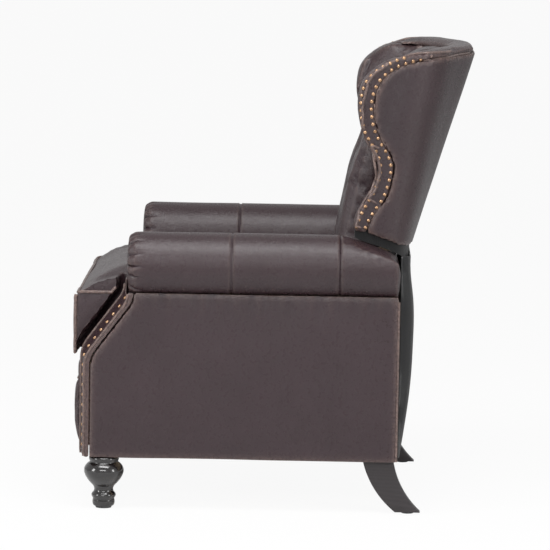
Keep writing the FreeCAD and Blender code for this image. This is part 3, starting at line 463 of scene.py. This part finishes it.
leatherLook = {"deep": (0.020, 0.010, 0.012), "light": (0.040, 0.022, 0.027), "worn": (0.22, 0.15, 0.13),
               "glossy": 0.24, "dull": 0.36, "pebble": 750.0, "crease": 0.5, "wear": 0.5, "relief": 0.35}
weltLook = dict(leatherLook, light=(0.062, 0.042, 0.041), deep=(0.030, 0.019, 0.020), wear=0.8)
timberLook = {"deep": (0.42, 0.29, 0.17), "light": (0.66, 0.50, 0.33), "worn": (0.7, 0.56, 0.4),
              "glossy": 0.55, "dull": 0.75, "coat": 0.0, "wear": 0.3, "relief": 0.4}
glossLegLook = {"deep": (0.006, 0.005, 0.005), "light": (0.012, 0.010, 0.010), "worn": (0.03, 0.028, 0.028),
                "glossy": 0.16, "dull": 0.24, "coat": 0.8, "wear": 0.2, "relief": 0.08}
satinLegLook = dict(glossLegLook, deep=(0.022, 0.018, 0.019), light=(0.034, 0.028, 0.030),
                    glossy=0.42, dull=0.55, coat=0.0)
brassLook = {"metallic": 1.0, "deep": (0.16, 0.08, 0.04), "light": (0.46, 0.27, 0.15),
             "worn": (0.62, 0.40, 0.24), "glossy": 0.22, "dull": 0.40, "spots": 260.0, "wear": 0.8}
blackSteelLook = {"metallic": 0.6, "deep": (0.02, 0.02, 0.022), "light": (0.035, 0.035, 0.038),
                  "worn": (0.3, 0.3, 0.31), "glossy": 0.4, "dull": 0.55, "spots": 90.0, "wear": 0.6}
zincLook = dict(blackSteelLook, metallic=1.0, deep=(0.42, 0.42, 0.44), light=(0.62, 0.62, 0.64),
                glossy=0.25)
springLook = dict(zincLook, deep=(0.16, 0.16, 0.17), light=(0.3, 0.3, 0.32))
plasticLook = dict(blackSteelLook, metallic=0.0, deep=(0.02, 0.02, 0.02), light=(0.035, 0.035, 0.035),
                   wear=0.1)
threadLook = dict(leatherLook, deep=(0.030, 0.018, 0.017), light=(0.06, 0.04, 0.036), wear=0.0)
knitLook = {"deep": (0.002, 0.002, 0.0025), "light": (0.008, 0.008, 0.009), "ribs": 260.0}

brownLeather = leather("darkBrownLeather", leatherLook)
weltLeather = leather("weltLeather", weltLook)
thread = leather("brownThread", threadLook)
timber = wood("rawTimber", timberLook)
glossLeg = wood("blackGlossLacquer", glossLegLook)
satinLeg = wood("blackSatinLacquer", satinLegLook)
brass = metal("antiqueBrass", brassLook)
blackSteel = metal("blackSteel", blackSteelLook)
zinc = metal("zincPlate", zincLook)
springSteel = metal("oiledSpringSteel", springLook)
plastic = metal("blackGlide", plasticLook)
stretchKnit = knit("blackStretchKnit", knitLook)
print("materials ready")


# Camera, floor and light

cameraLook = {"place": (8.756, 0.139, 1.613), "pitch": 7.10, "turn": 90.935, "roll": 0.96, "lens": 234.0}
camera = bpy.data.objects.new("camera", bpy.data.cameras.new("camera"))
scene.collection.objects.link(camera)
camera.data.lens = cameraLook["lens"]
camera.data.clip_end = 60
camera.matrix_world = (Matrix.Translation(cameraLook["place"])
                       @ Matrix.Rotation(radians(cameraLook["turn"]), 4, "Z")
                       @ Matrix.Rotation(radians(90 - cameraLook["pitch"]), 4, "X")
                       @ Matrix.Rotation(radians(cameraLook["roll"]), 4, "Z"))
scene.camera = camera
scene.view_settings.view_transform = "Standard"

floorLook = {"size": 60.0, "colour": (0.86, 0.86, 0.86), "white": 0.93}
bpy.ops.mesh.primitive_plane_add(size=floorLook["size"], location=(0, 0, -0.0005))
floor = bpy.context.active_object
floor.name = "floor"
floorMaterial, tree, shader = newMaterial("paleFloor", Roughness=0.9)
shader.inputs["Base Color"].default_value = (*floorLook["colour"], 1)
whiteness = node(tree, "ShaderNodeEmission")
seen = node(tree, "ShaderNodeLightPath")
blend = node(tree, "ShaderNodeMixShader")
tree.links.new(math(tree, "MULTIPLY", seen.outputs["Is Camera Ray"], floorLook["white"]), blend.inputs[0])
tree.links.new(shader.outputs[0], blend.inputs[1])
tree.links.new(whiteness.outputs[0], blend.inputs[2])
tree.links.new(blend.outputs[0], tree.nodes["Material Output"].inputs["Surface"])
floor.data.materials.append(floorMaterial)

worldLook = {"fill": 0.30, "seen": 1.0, "mirrored": 0.38}
world = bpy.data.worlds.new("studio")
scene.world = world
world.use_nodes = True
tree = world.node_tree
background = tree.nodes["Background"]
path = node(tree, "ShaderNodeLightPath")
direct = math(tree, "MAXIMUM", path.outputs["Is Camera Ray"], path.outputs["Is Transmission Ray"])
glossy = math(tree, "MULTIPLY", path.outputs["Is Glossy Ray"], worldLook["mirrored"])
shown = math(tree, "MAXIMUM", direct, glossy)
background.inputs["Color"].default_value = (1, 1, 1, 1)
strength = ranged(tree, shown, 0.0, 1.0, worldLook["fill"], worldLook["seen"])
tree.links.new(strength, background.inputs["Strength"])


def softbox(lightName, place, target, width, height, power):
    light = bpy.data.objects.new(lightName, bpy.data.lights.new(lightName, "AREA"))
    light.data.shape = "RECTANGLE"
    light.data.size = width
    light.data.size_y = height
    light.data.energy = power
    light.location = place
    light.rotation_euler = (Vector(target) - Vector(place)).to_track_quat("-Z", "Y").to_euler()
    scene.collection.objects.link(light)


softbox("overhead", (1.4, -0.2, 3.2), (0.3, 0, 0.5), 2.4, 1.0, 70)
softbox("side", (4.6, -0.5, 2.3), (0.3, 0, 0.6), 2.6, 0.5, 60)
softbox("front", (2.2, -4.0, 1.6), (0, 0, 0.6), 1.0, 2.2, 60)
softbox("behind", (2.8, 4.0, 1.7), (0, 0.2, 0.8), 1.0, 2.4, 60)
print("stage, light and camera ready")


# The nail, stitch and button that rows are made of

def makeNail(radius, height):
    bpy.ops.mesh.primitive_uv_sphere_add(segments=12, ring_count=8, radius=radius, location=(0, 0, 0))
    nail = bpy.context.active_object
    bpy.ops.object.mode_set(mode="EDIT")
    bpy.ops.mesh.select_all(action="SELECT")
    bpy.ops.mesh.bisect(plane_co=(0, 0, 0), plane_no=(0, 0, 1), clear_inner=True, use_fill=True)
    bpy.ops.object.mode_set(mode="OBJECT")
    nail.scale = (1, 1, height / radius)
    applyPlace(nail)
    return nail


def makeStitch(length, width):
    bpy.ops.mesh.primitive_uv_sphere_add(segments=8, ring_count=5, radius=0.5, location=(0, 0, 0))
    stitch = bpy.context.active_object
    stitch.scale = (length, width, width)
    applyPlace(stitch)
    return stitch


nailLook = {"radius": 0.0046, "height": 0.0032, "backPitch": 0.018, "armPitch": 0.024}
stitchLook = {"length": 0.0042, "width": 0.0011, "pitch": 0.006}
nail = makeNail(nailLook["radius"], nailLook["height"])
stitch = makeStitch(stitchLook["length"], stitchLook["width"])

# Lines of the wing seen from the side, bottom to top: (y, z)

wingFront = [(0.187, 0.672), (0.190, 0.693), (0.208, 0.735), (0.226, 0.767), (0.238, 0.800),
             (0.240, 0.829), (0.232, 0.857), (0.216, 0.885), (0.202, 0.909), (0.194, 0.940),
             (0.191, 0.985), (0.195, 1.014), (0.205, 1.034), (0.227, 1.056), (0.256, 1.074),
             (0.292, 1.087), (0.336, 1.094), (0.408, 1.0955)]
borderRear = [(0.216, 0.669), (0.222, 0.686), (0.241, 0.719), (0.262, 0.751), (0.274, 0.790),
              (0.278, 0.826), (0.267, 0.858), (0.249, 0.887), (0.235, 0.921), (0.229, 0.958),
              (0.230, 0.987), (0.239, 1.016), (0.255, 1.040), (0.280, 1.059), (0.309, 1.070),
              (0.349, 1.079), (0.400, 1.084), (0.472, 1.086)]


def sideLine(points, x=0.0):
    return [Vector((x, y, z)) for y, z in points]


def between(firstLine, secondLine, share):
    return [first.lerp(second, share) for first, second in zip(firstLine, secondLine)]


# Arms

armLook = {"voxel": 0.006, "shrink": 0.003, "pressure": 3.0, "cap": 0.008, "frames": 14,
           "seams": (-0.100, 0.156), "seamWidth": 0.0035, "seamDepth": 0.0035,
           "ringLow": -62, "ringHigh": 242,
           "pleats": 15, "pleatDepth": 0.011, "pleatReach": 0.048}
rollLow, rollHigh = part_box("left_arm_pad")
rollCentre = Vector(((rollLow.x + rollHigh.x) / 2, 0, (rollLow.z + rollHigh.z) / 2))
rollRadius = (rollHigh.x - rollLow.x) / 2


def nearSeam(y):
    return min(abs(y - seam) for seam in armLook["seams"])


def gather(piece):
    for vertex in piece.data.vertices:  # the leather is gathered in pleats over the roll's front edge
        spoke = Vector((vertex.co.x - rollCentre.x, 0, vertex.co.z - rollCentre.z))
        if spoke.length < 0.001:
            continue
        angle = Vector((1, 0)).angle_signed(Vector((spoke.x, spoke.z)), 0)
        phase = angle * armLook["pleats"] / 2 + 1.1 * noise.noise(Vector((angle * 1.7, 0.3, 0)))
        fold = (1 - abs(sin(phase)) ** 0.45) * (0.75 + 0.5 * noise.noise(Vector((angle * 2.3, 5.1, 0))))
        nearEdge = smoothStep(armLook["pleatReach"], 0, vertex.co.y - rollLow.y)
        outer = smoothStep(0.45, 0.95, spoke.length / rollRadius)
        inward = spoke.normalized() * -fold * armLook["pleatDepth"] * nearEdge * outer
        vertex.co += inward + Vector((0, fold * armLook["pleatDepth"] * 0.7 * nearEdge * outer, 0))
    for vertex, normal in zip(piece.data.vertices, normalsOf(piece)):
        groove = max(0, 1 - nearSeam(vertex.co.y) / armLook["seamWidth"]) * armLook["seamDepth"]
        vertex.co -= normal * groove


def roundEnds(piece, reach=0.022, depth=0.010):
    for vertex in piece.data.vertices:  # padding rolls over the front rim
        spoke = Vector((vertex.co.x - rollCentre.x, 0, vertex.co.z - rollCentre.z))
        rim = smoothStep(rollRadius - reach, rollRadius + 0.004, spoke.length)
        atFront = smoothStep(reach, 0, vertex.co.y - rollLow.y)
        vertex.co += Vector((0, depth * rim * rim * atFront, 0))
        vertex.co -= spoke.normalized() * depth * rim * atFront * 0.6


armRoll = copyOfNode("left_arm_pad", "leftArmRoll")
remesh(armRoll, armLook["voxel"], armLook["shrink"])
roundEnds(armRoll)
swell(armRoll, armLook, held=lambda co: 1.0 if nearSeam(co.y) < 0.005 else 0.0)
refine(armRoll)
gather(armRoll)
wander(armRoll, 0.16, 0.0016, 2)


def ringAround(y, lowAngle, highAngle, count):
    ring = []
    for step in range(count + 1):
        angle = radians(lowAngle + (highAngle - lowAngle) * step / count)
        ring.append(Vector((rollCentre.x + cos(angle) * rollRadius, y,
                            rollCentre.z + sin(angle) * rollRadius)))
    return ring


armStitches = []
for seam in armLook["seams"]:
    for step in (-0.0052, 0.0052):
        around = ringAround(seam + step, armLook["ringLow"], armLook["ringHigh"], 60)
        ring = laidOn(armRoll, evenly(around, stitchLook["pitch"]))
        armStitches.append(rowOf("stitches", stitch, ring))
armStitch = joined("leftArmStitches", armStitches)

panelLook = {"voxel": 0.006, "crown": 0.0035, "pucker": 0.0022, "puckerReach": 0.055}
panelLow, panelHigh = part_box("left_side_panel")
sidePanel = copyOfNode("left_side_panel", "leftSidePanel")
remesh(sidePanel, panelLook["voxel"], 0.0005)
for vertex, normal in zip(sidePanel.data.vertices, normalsOf(sidePanel)):
    if normal.x > 0.5:
        y, z = vertex.co.y, vertex.co.z
        acrossShare = (y - panelLow.y) / (panelHigh.y - panelLow.y)
        upShare = (z - panelLow.z) / (panelHigh.z - panelLow.z)
        crown = sin(pi * min(max(acrossShare, 0), 1)) ** 0.5 * sin(pi * min(max(upShare, 0), 1)) ** 0.5
        top = smoothStep(panelHigh.z - panelLook["puckerReach"] - 0.03, panelHigh.z - 0.02, z)
        pull = noise.noise(Vector((y * 42, z * 6, 1.3))) * top
        vertex.co.x += crown * panelLook["crown"] + pull * panelLook["pucker"]
wander(sidePanel, 0.14, 0.0012, 5)
rearWelt = welt("leftArmRearWelt", [Vector((panelHigh.x - 0.002, panelHigh.y - 0.001, z))
                                    for z in (0.128, 0.2, 0.3, 0.4, 0.49, 0.51)], 0.0028)

facingLook = {"voxel": 0.004, "weltRadius": 0.0032, "outerWelt": 0.0035, "innerWelt": 0.050, "nails": 0.024}
facing = copyOfNode("left_front_facing", "leftFrontFacing")
remesh(facing, facingLook["voxel"], 0.0)
facingLow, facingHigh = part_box("left_front_facing")
bpy.context.view_layer.update()


def frontLine(x):
    line = []
    for step in range(40):
        z = facingHigh.z - 0.012 - (facingHigh.z - facingLow.z - 0.016) * step / 39
        hit, place, normal, index = facing.ray_cast(Vector((x, -0.9, z)), Vector((0, 1, 0)))
        if hit:
            line.append((place.copy(), normal.copy()))
    return line


outerEdge = frontLine(facingHigh.x - facingLook["outerWelt"])
innerEdge = frontLine(facingHigh.x - facingLook["innerWelt"])
facingWelts = [welt("welt", [place + normal * 0.001 for place, normal in edge], facingLook["weltRadius"])
               for edge in (outerEdge, innerEdge)]
facingWelt = joined("leftFacingWelts", facingWelts)
nailLine = frontLine(facingHigh.x - facingLook["nails"])
nailPlaces = laidOn(facing, evenly([place for place, normal in nailLine], nailLook["armPitch"])[:-1])
armNail = rowOf("leftArmNails", nail, nailPlaces)
print("arms ready")

for side, turn in (("left", None), ("right", mirrorCopy)):
    pieces = [(armRoll, "ArmRoll", brownLeather, "leather", (f"{side}_arm_pad",)),
              (armStitch, "ArmStitches", thread, "leather", ()),
              (sidePanel, "SidePanel", brownLeather, "leather", (f"{side}_side_panel",)),
              (rearWelt, "ArmRearWelt", weltLeather, "leather", ()),
              (facing, "FrontFacing", brownLeather, "leather", (f"{side}_front_facing",)),
              (facingWelt, "FacingWelts", weltLeather, "leather", ())]
    for piece, name, material, slotName, nodes in pieces:
        made = turn(piece, side + name) if turn else piece
        dress(made, "root", material, nodes)
rightNail = mirrorCopy(armNail, "rightArmNails")
armNails = joined("armNails", [armNail, rightNail])
dress(armNails, "root", brass, ("arm_nailheads",))


# Seat cushion

seatLook = {"voxel": 0.007, "shrink": 0.006, "pressure": 3.0, "cap": 0.009, "frames": 14,
            "edgeZ": 0.517, "seamGrip": 0.006, "weltRadius": 0.004}
seatLow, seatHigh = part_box("seat_cushion")
seat = copyOfNode("seat_cushion", "seatCushion")
remesh(seat, seatLook["voxel"], seatLook["shrink"])


def seatHeld(co):
    front = co.y < seatLow.y + 0.020
    ear = abs(co.x) > seatHigh.x - 0.020
    if (front or ear) and abs(co.z - seatLook["edgeZ"]) < seatLook["seamGrip"]:
        return 1.0
    if co.z < seatLow.z + 0.012 or (co.y > seatLow.y + 0.12 and co.z < 0.435):
        return 1.0
    return 0.0


swell(seat, seatLook, held=seatHeld)
refine(seat)
wander(seat, 0.17, 0.003, 8)
dress(seat, "seat", brownLeather, ("seat_cushion",))

earX = seatHigh.x - 0.004
frontY = seatLow.y + 0.005
seatEdge = [Vector((x, y, seatLook["edgeZ"])) for x, y in
            ((earX, -0.345), (earX, -0.42), (earX - 0.004, frontY + 0.008),
             (earX - 0.03, frontY), (0, frontY))]
halfEdge = weltOn("welt", seat, seatEdge, seatLook["weltRadius"])
otherEdge = mirrorCopy(halfEdge, "welt")
lowEdge = [Vector((x, y, seatLow.z + 0.008)) for x, y in
           ((earX, -0.43), (earX - 0.004, frontY + 0.006), (earX - 0.03, frontY), (0, frontY))]
lowWelt = weltOn("welt", seat, lowEdge, seatLook["weltRadius"])
lowOther = mirrorCopy(lowWelt, "welt")
corner = weltOn("welt", seat, [Vector((earX, frontY, z)) for z in (0.375, 0.42, 0.47, 0.512)],
                seatLook["weltRadius"])
otherCorner = mirrorCopy(corner, "welt")
seatWelts = joined("seatWelts", [halfEdge, otherEdge, lowWelt, lowOther, corner, otherCorner])
dress(seatWelts, "seat", weltLeather)
print("seat ready")


# Footrest

footLook = {"voxel": 0.005, "shrink": 0.003, "pressure": 3.0, "cap": 0.010, "frames": 16, "seamZ": 0.300}
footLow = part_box("footrest_pad")[0]
footPad = copyOfNode("footrest_pad", "footrestPad")
remesh(footPad, footLook["voxel"], footLook["shrink"])
swell(footPad, footLook, held=lambda co: 1.0 if abs(co.z - footLook["seamZ"]) < 0.004 else 0.0)
refine(footPad)
dress(footPad, "footrest", brownLeather, ("footrest_pad",))
seamLine = [Vector((x, footLow.y, footLook["seamZ"])) for x in (-0.283, -0.14, 0, 0.14, 0.283)]
footSeam = weltOn("footrestSeam", footPad, seamLine, 0.0025, way=Vector((0, 1, 0)))
dress(footSeam, "footrest", weltLeather)
print("footrest ready")


# Back

coverLook = {"voxel": 0.006, "weltRadius": 0.0032, "weltLift": 0.001}
cover = copyOfNode("outer_back_cover", "outerBackCover")
remesh(cover, coverLook["voxel"], 0.0)
wander(cover, 0.2, 0.0015, 11)
dress(cover, "back", brownLeather, ("outer_back_cover",))

borderLook = {"voxel": 0.005, "shrink": 0.0005, "pressure": 4.0, "cap": 0.009, "frames": 14,
              "rows": (0.17, 0.83), "nailed": (2, 97), "grip": 0.0045}
border = copyOfNode("back_border", "backBorder")
inner = smoothLine(sideLine(wingFront), 0.006)
outer = smoothLine(sideLine(borderRear), 0.006)
inner = evenly(inner, sum((b - a).length for a, b in zip(inner, inner[1:])) / 120)
outer = evenly(outer, sum((b - a).length for a, b in zip(outer, outer[1:])) / 120)
remesh(border, borderLook["voxel"], borderLook["shrink"])


def nailRow(share):
    first, last = borderLook["nailed"]
    return evenly(between(inner, outer, share)[first:last], nailLook["backPitch"])


nailPlaces = []
for share in borderLook["rows"]:
    line = nailRow(share)
    nailPlaces += laidOn(border, [point + sideways * 0.5 for point in line], way=-sideways)
grips = [place for place, normal in nailPlaces]


def borderHeld(co):
    mirrored = Vector((abs(co.x), co.y, co.z))
    nearest = min((mirrored - grip).length_squared for grip in grips)
    return 1.0 if nearest < borderLook["grip"] ** 2 else 0.0


swell(border, borderLook, held=borderHeld)
dress(border, "back", brownLeather, ("back_border",))
print("border ready")

rows = []
for share in borderLook["rows"]:
    line = nailRow(share)
    places = laidOn(border, [point + sideways * 0.5 for point in line], way=-sideways)
    rows.append(rowOf("row", nail, places))
rows += [mirrorCopy(row, "row") for row in rows]
backNails = joined("backNails", rows)
dress(backNails, "back", brass, ("back_nailheads",))

weltParts = []
for line, target in ((sideLine(wingFront), border), (sideLine(borderRear), border)):
    dense = smoothLine(line, 0.008)
    places = laidOn(target, [point + sideways * 0.5 for point in dense], way=-sideways)
    lifted = [place + normal * coverLook["weltLift"] for place, normal in places]
    weltParts.append(welt("welt", lifted, coverLook["weltRadius"]))
weltParts += [mirrorCopy(part, "welt") for part in weltParts]
backWelts = joined("backWelts", weltParts)
dress(backWelts, "back", weltLeather)

wingLook = {"voxel": 0.006, "shrink": -0.0012, "pressure": 3.0, "cap": 0.010, "frames": 14}
wing = copyOfNode("left_wing_pad", "leftWingPad")
remesh(wing, wingLook["voxel"], wingLook["shrink"])
swell(wing, wingLook)
otherWing = mirrorCopy(wing, "rightWingPad")
for piece, side in ((wing, "left"), (otherWing, "right")):
    dress(piece, "back", brownLeather, (f"{side}_wing_pad",))

insideLook = {"voxel": 0.007, "shrink": 0.001, "pressure": 5.0, "cap": 0.026, "frames": 20,
              "grip": 0.010, "buttonRadius": 0.011, "buttonHeight": 0.006, "sink": 0.012,
              "rows": ((0.740, (-0.110, 0.0, 0.110)), (0.850, (-0.165, -0.055, 0.055, 0.165)),
                       (0.960, (-0.110, 0.0, 0.110)))}
inside = copyOfNode("inside_back_cushion", "insideBack")
remesh(inside, insideLook["voxel"], insideLook["shrink"])
buttonSpots = [Vector((x, -0.5, z)) for z, columns in insideLook["rows"] for x in columns]
buttonPlaces = laidOn(inside, buttonSpots, way=Vector((0, 1, 0)))


def insideHeld(co):
    if co.z < 0.50:
        return 1.0
    return 1.0 if min((co - place).length for place, normal in buttonPlaces) < insideLook["grip"] else 0.0


for vertex in inside.data.vertices:
    reach = min((vertex.co - place).length for place, normal in buttonPlaces)
    vertex.co.y += insideLook["sink"] * smoothStep(0.030, 0.0, reach)
swell(inside, insideLook, held=insideHeld)
refine(inside)
dress(inside, "back", brownLeather, ("inside_back_cushion",))
button = makeNail(insideLook["buttonRadius"], insideLook["buttonHeight"])
buttons = rowOf("tuftButtons", button, laidOn(inside, buttonSpots, way=Vector((0, 1, 0))), sink=0.001)
dress(buttons, "back", brownLeather, ("tuft_buttons",))
for master in (nail, stitch, button):
    bpy.data.objects.remove(master)
print("back ready")


# Leather drawn over the boards that show between the pads

wrapLook = {"thick": 0.0012, "boards": (("left_inner_arm_panel", "root"), ("right_inner_arm_panel", "root"),
                                       ("front_rail", "root"), ("footrest_board", "footrest"))}
for board, body in wrapLook["boards"]:
    wrap = copyOfNode(board, board.title().replace("_", "") + "Wrap")
    applyModifier(wrap, "DISPLACE", strength=wrapLook["thick"], mid_level=0)
    dress(wrap, body, brownLeather, angle=30)
print("wrapped boards ready")


# Legs

legLook = {"segments": 64}
legLow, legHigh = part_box("left_front_leg")
legProfile = [(0.0, 0.003), (0.020, 0.003), (0.0245, 0.005), (0.0265, 0.010), (0.027, 0.018),
              (0.0245, 0.0225), (0.0285, 0.027), (0.0295, 0.031), (0.028, 0.035), (0.0235, 0.039),
              (0.0222, 0.044),
              (0.0232, 0.051), (0.029, 0.057), (0.0375, 0.066), (0.044, 0.076), (0.0475, 0.086),
              (0.0478, 0.093), (0.045, 0.1005), (0.0395, 0.107), (0.0345, 0.110), (0.0335, 0.1125),
              (0.036, 0.116), (0.036, 0.1215), (0.0345, 0.125), (0.0, 0.125)]
bpy.ops.mesh.primitive_plane_add(size=0.01, location=(0, 0, 0))
frontLeg = bpy.context.active_object
frontLeg.name = "leftFrontLeg"
shape = bmesh.new()
knots = [shape.verts.new((x, 0, z)) for x, z in legProfile]
for before, after in zip(knots, knots[1:]):
    shape.edges.new((before, after))
shape.to_mesh(frontLeg.data)
shape.free()
selectOnly(frontLeg)
bpy.ops.object.mode_set(mode="EDIT")
bpy.ops.mesh.select_all(action="SELECT")
bpy.ops.mesh.spin(steps=legLook["segments"], angle=2 * pi, center=(0, 0, 0), axis=(0, 0, 1))
bpy.ops.mesh.select_all(action="SELECT")
bpy.ops.mesh.remove_doubles(threshold=0.00005)
bpy.ops.mesh.normals_make_consistent(inside=False)
bpy.ops.object.mode_set(mode="OBJECT")
legCentre = (legLow + legHigh) / 2
frontLeg.location = (legCentre.x, legCentre.y, 0)
applyPlace(frontLeg)
applyModifier(frontLeg, "SUBSURF", levels=1, render_levels=1)
rightLeg = mirrorCopy(frontLeg, "rightFrontLeg")
dress(frontLeg, "root", glossLeg, ("left_front_leg",), 60)
dress(rightLeg, "root", glossLeg, ("right_front_leg",), 60)

sabreLook = {"bevel": 0.0018}
for side in ("left", "right"):
    sabre = copyOfNode(f"{side}_rear_leg", f"{side}SabreLeg")
    applyModifier(sabre, "BEVEL", width=sabreLook["bevel"], segments=3, limit_method="ANGLE",
                  angle_limit=radians(40))
    dress(sabre, "root", satinLeg, (f"{side}_rear_leg",), 30)
print("legs ready")


# Fabric behind

liningLook = {"thick": 0.0015, "inset": 0.009, "columns": 24, "rows": 3, "flat": (0.19, 0.035),
              "top": ((0.189, 0.683), (0.216, 0.680), (0.243, 0.669), (0.275, 0.657), (0.298, 0.646),
                      (0.322, 0.636)),
              "low": ((0.189, 0.656), (0.205, 0.648), (0.243, 0.635), (0.280, 0.621), (0.298, 0.611),
                      (0.318, 0.597))}


def countedLine(points, count):
    line = smoothLine(points, 0.004)
    return evenly(line, sum((after - before).length for before, after in zip(line, line[1:])) / count)


def sheetGrid(pieceName, columns, rows):
    bpy.ops.mesh.primitive_grid_add(x_subdivisions=columns, y_subdivisions=rows, size=2, location=(0, 0, 0))
    piece = bpy.context.active_object
    piece.name = pieceName
    return piece


footLine = countedLine(sideLine(liningLook["top"]), liningLook["columns"])
gapLine = countedLine(sideLine(liningLook["low"]), liningLook["columns"])
shell = joined("shell", [copyOfNode("outer_back_cover", "shell"), copyOfNode("back_border", "shell")])
footPlaces = laidOn(shell, [point + sideways * 0.5 for point in footLine], way=-sideways)
bpy.data.objects.remove(shell)
lining = sheetGrid("leftWingLining", liningLook["columns"], liningLook["rows"])
for vertex in lining.data.vertices:
    index = round((vertex.co.x + 1) / 2 * liningLook["columns"])
    place = gapLine[index].lerp(footLine[index], (vertex.co.y + 1) / 2)
    vertex.co = Vector((footPlaces[index][0].x - liningLook["inset"], place.y, place.z))
applyModifier(lining, "SOLIDIFY", thickness=liningLook["thick"], offset=-1)
for piece, side in ((lining, "left"), (mirrorCopy(lining, "rightWingLining"), "right")):
    dress(piece, "back", stretchKnit)
print("wing linings ready")

curtainLook = {"thick": 0.0015, "halfLow": 0.366, "halfHigh": 0.340, "wrap": 0.040, "edge": 0.3005, "columns": 80,
               "rows": 24,
               "line": ((0.130, 0.3035), (0.20, 0.314), (0.30, 0.326), (0.40, 0.331), (0.50, 0.331),
                        (0.58, 0.322), (0.612, 0.322))}
curtain = sheetGrid("rearCurtain", curtainLook["columns"], curtainLook["rows"])
side = smoothLine([Vector((0, y, z)) for z, y in curtainLook["line"]], 0.52 / curtainLook["rows"])
for vertex in curtain.data.vertices:
    share = (vertex.co.y + 1) / 2
    index = min(int(share * (len(side) - 1)), len(side) - 2)
    place = side[index].lerp(side[index + 1], share * (len(side) - 1) - index)
    narrowing = curtainLook["halfHigh"] - curtainLook["halfLow"]
    half = curtainLook["halfLow"] + narrowing * smoothStep(0.45, 0.6, place.z)
    wrap = smoothStep(0.90, 1.0, abs(vertex.co.x))
    depth = max(place.y - curtainLook["wrap"] * wrap, curtainLook["edge"])
    vertex.co = Vector((vertex.co.x * half, depth, place.z))
applyModifier(curtain, "SOLIDIFY", thickness=curtainLook["thick"], offset=-1)
curtain.data.materials.clear()
curtain.data.materials.append(stretchKnit)
shadeSoft(curtain)
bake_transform(curtain)
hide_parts("rear_curtain")
print("curtain ready")


# The finish of the CAD nodes that stay

finishes = {"timber": timber, "plywood": timber, "glide": plastic, "stretch_fabric": stretchKnit,
            "mechanism_steel": blackSteel, "bolt_steel": zinc, "spring_steel": springSteel,
            "turned_leg": glossLeg, "sabre_leg": satinLeg, "leather": brownLeather, "nail_brass": brass}
for part in frame["record"]["subparts"]:
    nodeObject = frame["nodes"][part["node"]]
    for materialSlot in nodeObject.material_slots:
        materialSlot.material = finishes[part["material_slot"]]
print("finishes ready")
